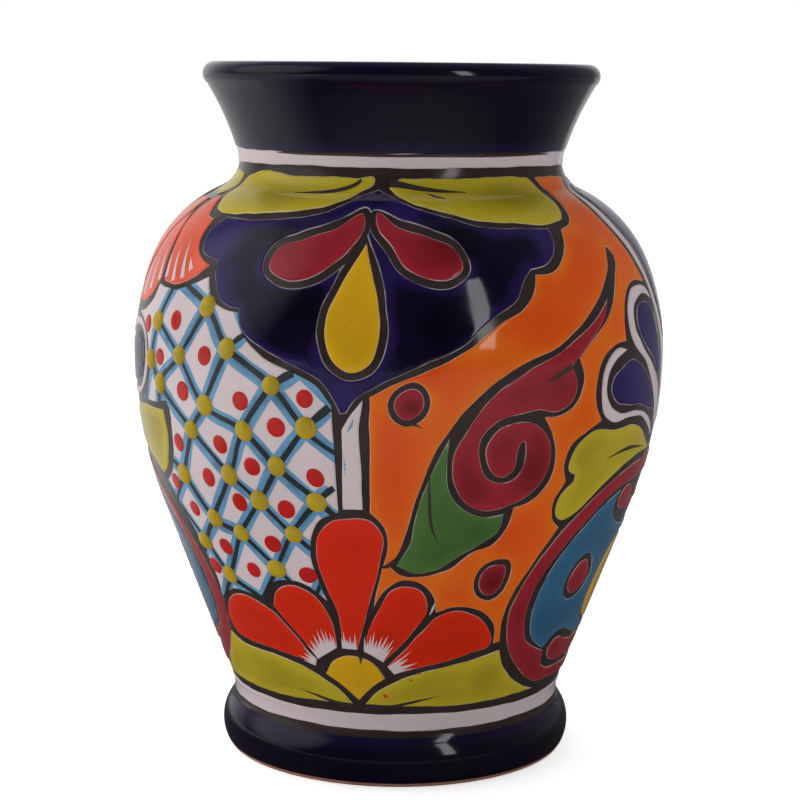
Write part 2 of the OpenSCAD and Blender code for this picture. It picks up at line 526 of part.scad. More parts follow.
// Ornament: red flower beside the shield
flower = [
    [[-66.3, 203.7, 1], [-63.5, 203.4], [-60, 200], [-57.5, 197.6], [-54.2, 197, 1], [-53.4, 189.5],
        [-50, 184.9], [-45.6, 182.2, 1], [-49.5, 178], [-57, 174.4], [-62.2, 175.2, 1], [-64.3, 187],
        [-67.5, 199.5]],
    [[-70.2, 199, 1], [-67, 192.5], [-65, 183], [-63.9, 176, 1], [-67.5, 169.6], [-73.3, 166.2],
        [-78.6, 167, 1], [-76, 180], [-73.6, 191]],
    [[-71.4, 202.8, 1], [-72.2, 198], [-75.2, 190], [-77.6, 180], [-79.6, 170.5, 1], [-82.5, 181],
        [-82.5, 196], [-79.5, 203.2, 1]]];

module clay_body() {
    color("#8a5d4c") rotate_extrude() clay_section();
}
module inner_glaze() {
    color("#14123a") rotate_extrude() lining_section();
}
module rim_glaze() {
    color("#14123a") rotate_extrude() rim_section();
}
module foot_glaze() {
    color("#14123a")
        rotate_extrude()
            between(bare_foot_h, foot_glaze_top)
                for (k = [foot_part, waist_part]) coat(k, -glaze_t, 0);
}
module line_coat() {
    color("#2b2624")
        rotate_extrude()
            between(foot_glaze_top, rim_z) body_coat(-glaze_t, -pool_t, 0, vase_h);
}
module neck_stripe() {
    color("#cfc2c4")
        rotate_extrude()
            between(neck_stripe_z, neck_stripe_z + neck_stripe_h)
                for (k = [throat_part, flare_part]) coat(k, -pool_t, 0);
}
module foot_stripe() {
    color("#cfc2c4")
        rotate_extrude()
            between(foot_stripe_z, foot_stripe_z + foot_stripe_h)
                for (k = [waist_part, body_part]) coat(k, -pool_t, 0);
}
module shoulder_leaves() {
    color("#9a9130") pools([leaf_left, leaf_right, leaf_side]);
}
module shield_grounds() {
    color("#1d1850")
        pools([shield], [for (p = [petal_left, petal_right, shield_drop]) grown(p, line_w)]);
}
module shield_petals() {
    color("#8c1f2c") pools([petal_left, petal_right]);
}
module shield_drops() {
    color("#c19a17") pools([shield_drop]);
}
module centre_strips() {
    color("#cfc2c4") pools([centre_strip]);
}

// Flat point between two crossings, pulled in along the strip and set off to its side
function beside(a, b, along, aside) =
    let (u = unit(b - a)) a + along * u + aside * [-u[1], u[0]];
module lattice_area() {
    for (turn = [0 : repeats - 1])
        rotate([0, 0, turn * 360 / repeats])
            intersection() {
                pool_skin(panel);
                along_radius(lattice_middle)
                    intersection() {
                        shape(panel, lattice_middle);
                        children();
                    }
            }
}
module flat_shape(points) {
    polygon([for (q = points) seen(q, lattice_middle)]);
}
function cell(i, j) =
    [for (p = [[i, j], [i, j + 1], [i + 1, j + 1], [i + 1, j]]) flat(crossings[p[0]][p[1]])];
function cell_middle(i, j) = (cell(i, j)[0] + cell(i, j)[1] + cell(i, j)[2] + cell(i, j)[3]) / 4;
// Corner of a cell moved in by half a strip from both of its sides
function cell_corner(c, k) =
    let (a = c[(k + 3) % 4], b = c[k], d = c[(k + 1) % 4], u = unit(a - b), v = unit(d - b))
    b + (u + v) * strip_w / 2 / sqrt(1 - pow(u * v, 2));
module lattice_cells() {
    color("#cfc2c4")
        lattice_area()
            for (i = [0 : len(crossings) - 2], j = [0 : len(crossings[i]) - 2])
                flat_shape([for (k = [0 : 3]) cell_corner(cell(i, j), k)]);
}
module strip(a, b) {
    pull = bead_r + 0.2;
    side = strip_w / 2 - strip_gap;
    flat_shape([
        beside(a, b, pull, -side),
        beside(a, b, norm(b - a) - pull, -side),
        beside(a, b, norm(b - a) - pull, side),
        beside(a, b, pull, side),
    ]);
}
module lattice_strips() {
    color("#5b9cc4")
        lattice_area() {
            for (row = crossings, j = [0 : len(row) - 2]) strip(flat(row[j]), flat(row[j + 1]));
            for (i = [0 : len(crossings) - 2], j = [0 : len(crossings[i]) - 1])
                strip(flat(crossings[i + 1][j]), flat(crossings[i][j]));
        }
}
// Stands a turned form on the surface at a flat point, at a depth under the finish
module on_surface(q, depth) {
    z = height_of(q[1]);
    for (turn = [0 : repeats - 1])
        rotate([0, 0, q[0] / deg_mm + turn * 360 / repeats])
            translate([0, -surface_r(z), z])
                rotate([90 - surface_lean(z), 0, 0])
                    translate([0, 0, -depth]) children();
}
module cap(r, h) {
    ball = (r * r + h * h) / (2 * h);
    rotate_extrude()
        intersection() {
            translate([0, h - ball]) circle(ball);
            square([2 * r, 2 * h]);
        }
}
module lattice_beads() {
    color("#a89a1c")
        for (i = [0 : len(crossings) - 1], j = [0 : len(crossings[i]) - 1])
            if (j >= bead_span[i][0] && j <= bead_span[i][1])
                on_surface(flat(crossings[i][j]), pool_t + seat) cap(bead_r, bead_h);
}
module lattice_dots() {
    color("#c0201c")
        for (i = [0 : len(dot_span) - 1], j = [dot_span[i][0] : dot_span[i][1]])
            on_surface(cell_middle(i, j) + flat(dot_shift), seat) cylinder(h = dot_t + seat, r = dot_r);
}
module orange_panels() {
    color("#cf5a18")
        pools([orange], [scroll_bed, grown(scroll_dot, line_w), grown(scroll_seed, line_w)]);
}
module scrolls() {
    color("#8c1f2c") pools([scroll]);
}
module scroll_leaves() {
    color("#3f6a30") pools([scroll_leaf]);
}
module scroll_dots() {
    color("#8c1f2c") pools([scroll_dot, scroll_seed]);
}
module daisy_petals() {
    color("#bf2814") pools(daisy_petals_drawn);
}
module daisy_hearts() {
    color("#c19a17") pools([daisy_heart]);
}
module base_leaves() {
    color("#9a9130") pools([base_leaf_left, base_leaf_right]);
}
module medallion_rims() {
    color("#8c1f2c") {
        pools([whole(rim_outer_half)], [whole(rim_inner_half)]);
        pools([for (v = [volute_top, volute_base]) each [v, mirrored(v, medallion_axis)]]);
    }
}
module medallion_fields() {
    seeds = [seed, mirrored(seed, medallion_axis)];
    color("#2f5f8c")
        pools([whole(field_half)], [for (p = concat(seeds, [whole(core_half)])) grown(p, line_w)]);
}
module medallion_seeds() {
    color("#8c1f2c") pools([seed, mirrored(seed, medallion_axis)]);
}
module medallion_cores() {
    color("#c19a17") pools([whole(core_half)]);
}
module side_leaves() {
    color("#9a9130") pools([side_leaf_left, side_leaf_right]);
}
module flower_borders() {
    color("#cfc2c4") {
        pools([border_low, border_high]);
        pools([border_top], [grown(drop_top, line_w)]);
        pools([border_side], [grown(drop_side, line_w)]);
    }
}
module flower_drops() {
    color("#1d1850") pools([drop_low, drop_high, drop_top, drop_side]);
}
module flower_petals() {
    color("#bf2814") pools(flower);
}

clay_body();
inner_glaze();
rim_glaze();
foot_glaze();
line_coat();
neck_stripe();
foot_stripe();
shoulder_leaves();
shield_grounds();
shield_petals();
shield_drops();
centre_strips();
lattice_cells();
lattice_strips();
lattice_beads();
lattice_dots();
orange_panels();
scrolls();
scroll_leaves();
scroll_dots();
daisy_petals();
daisy_hearts();
base_leaves();
medallion_rims();
medallion_fields();
medallion_seeds();
medallion_cores();
side_leaves();
flower_borders();
flower_drops();
flower_petals();
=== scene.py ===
import math
from collections import namedtuple

import bmesh
import bpy
import numpy as np
from bpy.props import FloatProperty, FloatVectorProperty, IntProperty, PointerProperty
from bpy.types import Operator, Panel, PropertyGroup
from mathutils import Matrix, Vector
from mathutils.geometry import delaunay_2d_cdt
from mathutils.noise import noise_vector, seed_set


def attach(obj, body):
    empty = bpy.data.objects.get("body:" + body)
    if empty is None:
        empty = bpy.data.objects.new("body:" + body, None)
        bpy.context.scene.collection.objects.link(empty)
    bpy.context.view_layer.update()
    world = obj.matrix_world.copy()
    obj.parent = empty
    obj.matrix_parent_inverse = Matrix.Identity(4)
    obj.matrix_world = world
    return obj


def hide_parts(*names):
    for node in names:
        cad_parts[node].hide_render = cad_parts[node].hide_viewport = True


bl_info = {
    "name": "Painted Vase",
    "version": (1, 0, 0),
    "blender": (4, 5, 0),
    "location": "3D View > Sidebar > Vase",
    "description": "Builds a glazed earthenware vase with raised fields of colour on its CAD frame",
    "category": "Add Mesh",
}

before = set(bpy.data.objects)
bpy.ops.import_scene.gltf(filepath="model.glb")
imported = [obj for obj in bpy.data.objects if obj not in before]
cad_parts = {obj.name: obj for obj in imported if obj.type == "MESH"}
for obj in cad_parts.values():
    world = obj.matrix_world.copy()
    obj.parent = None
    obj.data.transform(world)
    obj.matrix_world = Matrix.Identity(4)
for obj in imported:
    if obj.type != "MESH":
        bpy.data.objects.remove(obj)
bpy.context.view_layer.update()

MM = 0.001
# Heights between which the ornament is drawn, and millimetres for a degree of the drawing
DRAWN_Z = (28.4, 211.8)
DEGREE = 92 * math.pi / 180
# Heights between which the profile is gently curved, and the steps of a field's points beyond them
GENTLE_Z = (34, 199)
TIGHT_STEP = (1, 0.5)
# Profile radius below which an arc gets closer rows of points
QUICK_ARC = 20
# White stripes: start below the throat's and the waist's middle, heights, and the dark gaps beside them
STRIPE_DROP = 1
NECK_STRIPE_H, FOOT_STRIPE_H = 4.5, 6
RIM_GAP, THROAT_GAP, FOOT_GAP = 0.7, 3.2, 2.6
# Rounded edge of a stripe as distances and falls, start of its flat middle, and sway of its edges
STRIPE_EDGE = ((0.15, 0.12), (0.45, 0.03), (0.9, 0))
STRIPE_FLAT, STRIPE_SWAY = 1.3, 0.14
# Steps over the lip and round the corner of the floor inside, and bevel of the standing ring
LIP_STEPS, CORNER_STEPS, RING_BEVEL = 20, 10, 1.5
# Depth of the bare clay at the foot's edge, and how quickly the rim's tone changes away from the lip
BARE_DEPTH, LIP_FADE = -0.15, 1.6
# Distance to an edge that is noted on turned glaze without a drawn edge, and on beads and dots
NO_EDGE, DOME_EDGE = 6.0, 3.0
# Start and wave length of the hand's sway, the turn that gives the beds a sway of their own
HAND_SEED, HAND_WAVE, BED_TURN = 7, 6.5, 3
# Step and least width of a brush stroke
STROKE_STEP, HAIR = 1.2, 0.06
# Sway of the lattice's lines and of the flames, and how far up the notch between two flames starts
LATTICE_SWAY, FLAME_SWAY, FLAME_NOTCH = 0.25, 0.15, 0.4
# Beds of the dot and the seed beside the scroll, as shares of a line's width
DOT_BED, SEED_BED = 0.8, 0.85
# Depth of a brush stroke under the finish, and width and drop of its edge
BRUSH_DEPTH, BRUSH_EDGE = 0.03, (0.25, 0.02)
# Depths in the lattice: its white panel, blue strips and dark lines (across, upright) and blue smears
PANEL_DEPTH, STRIP_DEPTHS, LINE_DEPTHS, SMEAR_DEPTH = 0.14, (0.115, 0.095), (0.07, 0.05), 0.08
# Height of a dot, how far beads and dots start below what they stand on, their steps and how uneven they are
DOT_H, BEAD_SUNK, DOT_SUNK, DOME_STEPS, DOME_UNEVEN = 0.32, 0.1, 0.04, (28, 14), 0.08
# Least area of a field, and the angle from which an edge stays sharp
LEAST_AREA, SHARP = 0.3, math.radians(55)
# A layer of glaze: depths of its top and bottom, width of its rounded edge and how far that edge comes down
Layer = namedtuple("Layer", "top bottom edge_w edge_h")


# Sizes and colours a user would change

class VaseForm(PropertyGroup):
    """Profile of the vase, in millimetres"""
    height: FloatProperty(name="Height", description="Foot to lip", default=250)
    belly_r: FloatProperty(name="Belly radius", description="Largest radius", default=96.7)
    belly_z: FloatProperty(name="Belly height", description="Height of the widest line", default=147)
    low_belly: FloatProperty(name="Lower belly", description="Profile radius below the widest line", default=155)
    high_belly: FloatProperty(name="Upper belly", description="Profile radius above the widest line", default=88)
    belly_turn: FloatProperty(name="Belly turn", description="Degrees of the upper belly", default=22)
    shoulder: FloatProperty(name="Shoulder", description="Profile radius of the shoulder", default=48)
    neck_r: FloatProperty(name="Neck radius", description="Smallest radius of the neck", default=58.9)
    throat: FloatProperty(name="Throat", description="Profile radius under the neck", default=11.2)
    flare_turn: FloatProperty(name="Flare turn", description="Degrees at which the flare starts", default=17)
    flare: FloatProperty(name="Flare", description="Profile radius of the neck", default=100)
    lip: FloatProperty(name="Lip", description="Radius of the rolled lip", default=4.25)
    lip_set_in: FloatProperty(name="Lip set in", description="Lip behind the flare's line", default=0.5)
    run: FloatProperty(name="Lean", description="How far the lower body leans out", default=44)
    rise: FloatProperty(name="Lean height", description="Height for that lean", default=117)
    waist: FloatProperty(name="Waist", description="Profile radius over the foot", default=9)
    foot_r: FloatProperty(name="Foot radius", description="Largest radius of the foot", default=64.65)
    foot: FloatProperty(name="Foot rounding", description="Profile radius of the foot", default=14)
    foot_z: FloatProperty(name="Foot middle", description="Height of the foot's rounding", default=7.5)
    wall: FloatProperty(name="Wall", description="Thickness of the wall", default=7)
    floor_z: FloatProperty(name="Floor", description="Height of the floor inside", default=12)
    floor_round: FloatProperty(name="Floor corner", description="Corner radius inside", default=18)
    ring_in: FloatProperty(name="Ring", description="Inner radius of the standing ring", default=50)
    recess: FloatProperty(name="Recess", description="Depth under the floor", default=3)
    segments: IntProperty(name="Segments", description="Steps of a full turn", default=192, min=48)


class VaseGlaze(PropertyGroup):
    """Layers of glaze, in millimetres"""
    coat: FloatProperty(name="Line coat", description="Thickness of the dark coat", default=0.5)
    pool: FloatProperty(name="Pool", description="Thickness of a field of colour", default=0.5)
    lining: FloatProperty(name="Lining", description="Thickness inside", default=0.6)
    bare_foot: FloatProperty(name="Bare foot", description="Height of the bare clay edge", default=1.5)
    line: FloatProperty(name="Line", description="Width of a dark line", default=2.4)
    edge_w: FloatProperty(name="Edge width", description="Width of the rounded edge of a field", default=0.9)
    edge_h: FloatProperty(name="Edge drop", description="How far that edge comes down", default=0.3)
    under: FloatProperty(name="Under", description="How far a field's top stays under the finish", default=0.09)
    step: FloatProperty(name="Step", description="Step along a drawn outline", default=1.1)
    sway: FloatProperty(name="Sway", description="Sway of the drawing hand", default=0.3)
    mesh: IntProperty(name="Mesh", description="Spacing of the points inside a field", default=4, min=1)
    bead_r: FloatProperty(name="Bead", description="Radius of a bead", default=3.7)
    bead_h: FloatProperty(name="Bead height", description="Height of a bead", default=2.1)
    dot_r: FloatProperty(name="Dot", description="Radius of a dot", default=3.2)
    strip_w: FloatProperty(name="Strip", description="Width of a blue strip of the lattice", default=5.5)
    strip_line: FloatProperty(name="Strip line", description="Width of the dark line along a strip", default=1.8)


def colour(name, r, g, b):
    """A colour property from the values an image program shows."""
    linear = [c / 12.92 if c <= 0.04045 else ((c + 0.055) / 1.055) ** 2.4 for c in (r / 255, g / 255, b / 255)]
    return FloatVectorProperty(name=name, description=f"{name} glaze", subtype="COLOR", size=3, min=0, max=1,
                               default=linear)


class VaseColours(PropertyGroup):
    """Colours of the clay and the glazes"""
    clay: colour("Clay", 168, 118, 100)
    line: colour("Dark line", 52, 42, 41)
    ink: colour("Lattice line", 34, 40, 45)
    cobalt: colour("Cobalt", 38, 27, 80)
    night: colour("Deep cobalt", 15, 10, 33)
    rim: colour("Rim", 24, 19, 54)
    white: colour("White", 199, 184, 187)
    lime: colour("Lime", 168, 151, 36)
    magenta: colour("Magenta", 130, 30, 40)
    maroon: colour("Deep magenta", 92, 18, 24)
    yellow: colour("Yellow", 192, 147, 23)
    sky: colour("Sky blue", 102, 150, 186)
    bead: colour("Bead", 164, 139, 35)
    dot: colour("Dot", 168, 30, 26)
    red: colour("Red", 192, 38, 15)
    coral: colour("Coral", 208, 80, 52)
    orange: colour("Orange", 208, 84, 22)
    green: colour("Green", 64, 96, 47)
    turquoise: colour("Turquoise", 47, 89, 120)


class VaseStage(PropertyGroup):
    """Camera and light"""
    lens: FloatProperty(name="Lens", description="Focal length in millimetres", default=92.25)
    eye: FloatVectorProperty(name="Eye", description="Place of the camera", default=(0, -0.7484, 0.24586),
                             subtype="XYZ", unit="LENGTH")
    tilt: FloatProperty(name="Tilt", description="Camera's look down", default=math.radians(9.02), subtype="ANGLE")
    roll: FloatProperty(name="Roll", description="Camera's roll", default=math.radians(0.57), subtype="ANGLE")
    shift: FloatProperty(name="Shift", description="Sideways shift of the picture", default=0.0021)
    key_power: FloatProperty(name="Key", description="Power of the strip light", default=1.1, subtype="POWER")
    room: FloatProperty(name="Room", description="Mean brightness of the soft light", default=1.04)
    window: FloatProperty(name="Window", description="Soft light from the left window", default=1)
    left_way: FloatVectorProperty(name="Left window", description="Way to the bright window that is mirrored",
                                  default=(-0.86, -0.05, 0.5), subtype="XYZ")
    soft_way: FloatVectorProperty(name="Soft light", description="Side the soft light is stronger from",
                                  default=(-0.38, 0.97, 0), subtype="XYZ")


# Surface of the finished vase

class Surface:
    """The vase's profile as tangent arcs, worked out from its driving sizes."""

    def __init__(self, f, glaze):
        self.glaze_t = glaze.coat + glaze.pool
        lean = self.lean = math.atan2(f.run, f.rise)
        self.out = Vector((math.cos(lean), -math.sin(lean)))
        self.low_c = Vector((f.belly_r - f.low_belly, f.belly_z))
        self.high_c = Vector((f.belly_r - f.high_belly, f.belly_z))
        turn = math.radians(f.belly_turn)
        self.shoulder_c = self.high_c + (f.high_belly - f.shoulder) * Vector((math.cos(turn), math.sin(turn)))
        reach = f.shoulder + f.throat
        neck_x = f.neck_r + f.throat
        self.neck_c = Vector((neck_x, self.shoulder_c.y + math.sqrt(reach ** 2 - (neck_x - self.shoulder_c.x) ** 2)))
        to_neck = self.neck_c - self.shoulder_c
        shoulder_turn, flare_turn = math.atan2(to_neck.y, to_neck.x), math.radians(f.flare_turn)
        self.flare_c = self.neck_c + (f.flare - f.throat) * Vector((math.cos(flare_turn), -math.sin(flare_turn)))
        lip_z = f.height - f.lip
        lip_r = self.flare_c.x - math.sqrt(f.flare ** 2 - (lip_z - self.flare_c.y) ** 2) - f.lip - f.lip_set_in
        self.lip_c = Vector((lip_r, lip_z))
        self.body_d = self.out.dot(self.low_c) + f.low_belly
        self.foot_c = Vector((f.foot_r - f.foot, f.foot_z))
        waist_turn = math.acos((self.body_d + f.waist - self.out.dot(self.foot_c)) / (f.foot + f.waist)) - lean
        self.waist_c = self.foot_c + (f.foot + f.waist) * Vector((math.cos(waist_turn), math.sin(waist_turn)))
        self.floor_c = Vector((0, f.floor_z + f.floor_round))
        self.floor_c.x = (self.body_d - f.wall - f.floor_round + math.sin(lean) * self.floor_c.y) / math.cos(lean)
        self.cone_top = (self.low_c + f.low_belly * self.out).y
        self.throat_top = self.neck_c.y + f.throat * math.sin(flare_turn)
        # Arcs of the profile upwards: top, centre and radius, which is negative where the profile is hollow
        self.arcs = (
            (self.foot_c.y + f.foot * math.sin(waist_turn), self.foot_c, f.foot),
            ((self.waist_c - f.waist * self.out).y, self.waist_c, -f.waist),
            (self.cone_top, None, 0),
            (f.belly_z, self.low_c, f.low_belly),
            (self.high_c.y + f.high_belly * math.sin(turn), self.high_c, f.high_belly),
            (self.shoulder_c.y + f.shoulder * math.sin(shoulder_turn), self.shoulder_c, f.shoulder),
            (self.throat_top, self.neck_c, -f.throat),
            (math.inf, self.flare_c, -f.flare))
        self.neck_stripe_z = self.neck_c.y - STRIPE_DROP
        self.rim_z = self.neck_stripe_z + NECK_STRIPE_H + RIM_GAP
        self.field_top = self.neck_stripe_z - THROAT_GAP
        self.foot_stripe_z = self.waist_c.y - STRIPE_DROP
        self.foot_glaze_top = self.foot_stripe_z - FOOT_GAP
        self.field_bottom = self.foot_stripe_z + FOOT_STRIPE_H + FOOT_GAP
        self.scale = (self.field_top - self.field_bottom) / (DRAWN_Z[1] - DRAWN_Z[0])

    def arc_at(self, z):
        """Centre and radius of the arc at a height; the straight lean has no centre."""
        return next((centre, radius) for top, centre, radius in self.arcs if z < top)

    def at(self, z):
        """Radius at a height, and the way out of the surface there as (outwards, up)."""
        centre, radius = self.arc_at(z)
        if centre is None:
            return (self.body_d + math.sin(self.lean) * z) / math.cos(self.lean), self.out
        side = math.copysign(1, radius)
        across = math.sqrt(radius ** 2 - (z - centre.y) ** 2)
        return centre.x + side * across, Vector((across, side * (z - centre.y))) / abs(radius)

    def offset(self, z, depth):
        """Profile point at a height, moved along the way out."""
        r, way = self.at(z)
        return Vector((r, z)) + depth * way

    def rows(self, z0, z1, depth, spacing=2.0):
        """Profile points between two heights at a depth, closer together where the profile turns quickly."""
        stops = [z0] + [top for top, _, _ in self.arcs if z0 < top < z1] + [z1]
        points = []
        for a, b in zip(stops, stops[1:]):
            centre, radius = self.arc_at((a + b) / 2)
            gap = 0.5 * spacing if centre is not None and abs(radius) < QUICK_ARC else 2.5 * spacing
            count = max(1, math.ceil((b - a) / gap))
            points += [self.offset(a + (b - a) * k / count, depth) for k in range(count)]
        return points + [self.offset(z1, depth)]

    def place(self, u, drawn_z, depth):
        """A point of the flat drawing on the vase, in metres."""
        z = self.field_bottom + (drawn_z - DRAWN_Z[0]) * self.scale
        r, way = self.at(z)
        angle = math.radians(u / DEGREE)
        r += depth * way.x
        return Vector((r * math.sin(angle), -r * math.cos(angle), z + depth * way.y)) * MM

    def lip_cross(self, depth, radius):
        """Height at which the flare at a depth meets a circle round the lip's centre."""
        low, high = self.throat_top, self.lip_c.y
        for _ in range(40):
            mid = (low + high) / 2
            inside = (self.offset(mid, depth) - self.lip_c).length < radius
            low, high = (low, mid) if inside else (mid, high)
        return low


def current_surface():
    scene = bpy.context.scene
    return Surface(scene.vase_form, scene.vase_glaze)


# Drawing: smooth outlines through a few points

def flat(p):
    return Vector((p[0] * DEGREE, p[1]))


def turn_at(a, b, c):
    before, after = b - a, c - b
    return (before.normalized() * after.length + after.normalized() * before.length).normalized()


def directions(points):
    """Ways in which the outline leaves and reaches each point; a third value of 1 marks a corner."""
    leave, arrive = [], []
    for i, p in enumerate(points):
        a, b, c = flat(points[i - 1]), flat(p), flat(points[(i + 1) % len(points)])
        corner = len(p) > 2
        leave.append((c - b).normalized() if corner else turn_at(a, b, c))
        arrive.append((b - a).normalized() if corner else turn_at(a, b, c))
    return leave, arrive


def outline(points, step):
    """Closed smooth outline as flat points a step apart."""
    leave, arrive = directions(points)
    line = []
    for i, p in enumerate(points):
        j = (i + 1) % len(points)
        a, b = flat(p), flat(points[j])
        length = (b - a).length
        count = max(1, round(length / step))
        for k in range(count):
            t = k / count
            line.append((2 * t ** 3 - 3 * t ** 2 + 1) * a + (t ** 3 - 2 * t ** 2 + t) * length * leave[i]
                        + (3 * t ** 2 - 2 * t ** 3) * b + (t ** 3 - t ** 2) * length * arrive[j])
    return line


def grown(points, width):
    """Drawn points moved out by a width, for the bed that a dark line leaves round a field."""
    leave, arrive = directions(points)
    flats = [flat(p) for p in points]
    area = sum(flats[i - 1].cross(p) for i, p in enumerate(flats))
    side = math.copysign(width, area)
    moved = []
    for p, q, a, b in zip(points, flats, leave, arrive):
        way = (a + b).normalized()
        moved.append(((q.x + side * way.y) / DEGREE, q.y - side * way.x) + tuple(p[2:]))
    return moved


def uneven(line, sway, turn=0.0):
    """The same flat line with the small sway of a drawing hand, which is the same on every run."""
    seed_set(HAND_SEED)
    return [p + sway * noise_vector(Vector((p.x / HAND_WAVE, p.y / HAND_WAVE, turn))).xy for p in line]


def drawn(points, turn=0.0):
    """Outline of a field through its points, as the hand drew it."""
    g = bpy.context.scene.vase_glaze
    return uneven(outline(points, g.step), g.sway, turn)


def dense(corners):
    """Flat loop round a few corners, with points a step apart on its sides."""
    loop = []
    for a, b in zip(corners, corners[1:] + corners[:1]):
        count = max(1, round((b - a).length / STROKE_STEP))
        loop += [a.lerp(b, k / count) for k in range(count)]
    return loop


def mirrored(points, axis):
    return [(2 * axis - p[0],) + tuple(p[1:]) for p in points]


def whole(half, axis):
    return list(half) + mirrored(half, axis)[::-1]


def stroke(points, widths):
    """Flat outline of a brush stroke along a few points, with a width at each."""
    line, size = [], []
    flats = [flat(p) for p in points]
    for i, (a, b) in enumerate(zip(flats, flats[1:])):
        before = flats[i - 1] if i else a - (b - a)
        after = flats[i + 2] if i + 2 < len(flats) else b + (b - a)
        count = max(2, round((b - a).length / STROKE_STEP))
        for k in range(count):
            t = k / count
            line.append(0.5 * (2 * a + (b - before) * t + (2 * before - 5 * a + 4 * b - after) * t ** 2
                               + (3 * a - before - 3 * b + after) * t ** 3))
            size.append(widths[i] + (widths[i + 1] - widths[i]) * t)
    line.append(flats[-1])
    size.append(widths[-1])
    left, right = [], []
    for i, p in enumerate(line):
        way = (line[min(i + 1, len(line) - 1)] - line[max(i - 1, 0)]).normalized()
        side = Vector((-way.y, way.x)) * max(size[i], HAIR) / 2
        left.append(p + side)
        right.append(p - side)
    return left + right[::-1]


# Meshes

def finish_piece(bm, name, look, node=None):
    """Turns a finished mesh into a piece that rides on the vase, standing for its CAD node if it has one."""
    bmesh.ops.recalc_face_normals(bm, faces=bm.faces)
    for face in bm.faces:
        face.smooth = True
    for edge in bm.edges:
        edge.smooth = len(edge.link_faces) != 2 or edge.calc_face_angle(0) < SHARP
    mesh = bpy.data.meshes.new(name)
    bm.to_mesh(mesh)
    bm.free()
    mesh.materials.append(palette(look))
    piece = bpy.data.objects.new(name, mesh)
    bpy.context.scene.collection.objects.link(piece)
    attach(piece, "root")
    if node:
        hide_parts(node)
    return piece


def turned(loop, node, look, rim_of=None):
    """Piece spun from a closed loop of profile points, in millimetres."""
    bm = bmesh.new()
    verts = [bm.verts.new((p.x * MM, 0, p.y * MM)) for p in loop]
    edges = [bm.edges.new((a, b)) for a, b in zip(verts, verts[1:] + verts[:1])]
    segments = bpy.context.scene.vase_form.segments
    bmesh.ops.spin(bm, geom=verts + edges, cent=(0, 0, 0), axis=(0, 0, 1), dvec=(0, 0, 0),
                   angle=2 * math.pi, steps=segments, use_merge=True)
    bmesh.ops.remove_doubles(bm, verts=bm.verts, dist=1e-7)
    if rim_of:
        layer = bm.verts.layers.float.new("rim")
        for vert in bm.verts:
            vert[layer] = rim_of(vert.co.z / MM)
    return finish_piece(bm, f"{node}_fired", look, node)


def flat_region(loops, holes, widths, spacing):
    """Flat mesh of even triangles inside every one of the loops and outside all the holes."""
    outlines = [line if sum(line[k - 1].cross(p) for k, p in enumerate(line)) > 0 else line[::-1]
                for line in (*loops, *holes)]
    points = [p for line in outlines for p in line]
    firsts = [sum(len(line) for line in outlines[:k]) for k in range(len(outlines))]
    faces = [list(range(first, first + len(line))) for first, line in zip(firsts, outlines)]
    wanted = set(range(len(loops)))

    def filled(extra):
        verts, _, triangles, _, _, inside = delaunay_2d_cdt(points + extra, [], faces, 1, 1e-5, True)
        bm = bmesh.new()
        corners = [bm.verts.new((v.x, v.y, 0)) for v in verts]
        for triangle, owners in zip(triangles, inside):
            if set(owners) == wanted:
                bm.faces.new([corners[k] for k in triangle])
        bmesh.ops.delete(bm, geom=[v for v in bm.verts if not v.link_faces], context="VERTS")
        return bm

    plain = filled([])
    if not plain.faces:
        return plain
    extra = inner_points(*edge_segments(plain), widths, spacing)
    plain.free()
    return filled(extra)


def edge_segments(bm):
    """Ends of the outer edges of a flat mesh, and the ways into the mesh from them."""
    starts, ends, sides = [], [], []
    for edge in bm.edges:
        if len(edge.link_faces) == 1:
            a, b = (v.co.xy for v in edge.verts)
            side = (b - a).orthogonal().normalized()
            inside = edge.link_faces[0].calc_center_median().xy
            starts.append(a)
            ends.append(b)
            sides.append(side if side.dot(inside - a) > 0 else -side)
    return np.array(starts), np.array(ends), np.array(sides)


def inner_points(starts, ends, sides, widths, spacing):
    """Rows of points along the edge of a flat mesh, and a grid that is closer where the vase is tightly curved."""
    low, high = starts.min(0), starts.max(0)
    grid = []
    for row in np.arange(math.ceil(low[1]), high[1], TIGHT_STEP[1]):
        gentle = GENTLE_Z[0] < row < GENTLE_Z[1]
        if gentle and row % spacing:
            continue
        across, up = (spacing, spacing) if gentle else TIGHT_STEP
        shift = across / 2 * (row / up % 2)
        grid += [(u + shift, row) for u in np.arange(low[0], high[0], across)]
    sets = [((starts + ends) / 2 + sides * width, 0.85 * width) for width in widths]
    if grid:
        sets.append((np.array(grid), widths[-1] + 0.4))
    return [Vector(p) for points, gap in sets for p, d in zip(points, to_segments(points, starts, ends)) if d > gap]


def to_segments(points, starts, ends):
    """Distance of each point to the nearest of a set of segments."""
    nearest = np.full(len(points), 1e9)
    for a, b in zip(starts, ends):
        along = b - a
        t = np.clip(((points - a) @ along) / max(float(along @ along), 1e-12), 0, 1)
        nearest = np.minimum(nearest, np.linalg.norm(points - a - t[:, None] * along, axis=1))
    return nearest


def glaze_depth_and_sheen(p):
    """How deep in colour the glaze is at a flat point; below 0 where it ran thin, and on the right-side cobalt drops
    where a sheen is painted in.
    """
    depth = 0.0
    for place, wide, high, deep in PATCHES_AND_SHEEN:
        away = p.xy - flat(place)
        near = max(0.0, 1 - math.hypot(away.x / wide, away.y / high))
        depth = max(depth, deep * near * near * (3 - 2 * near), key=abs)
    return depth


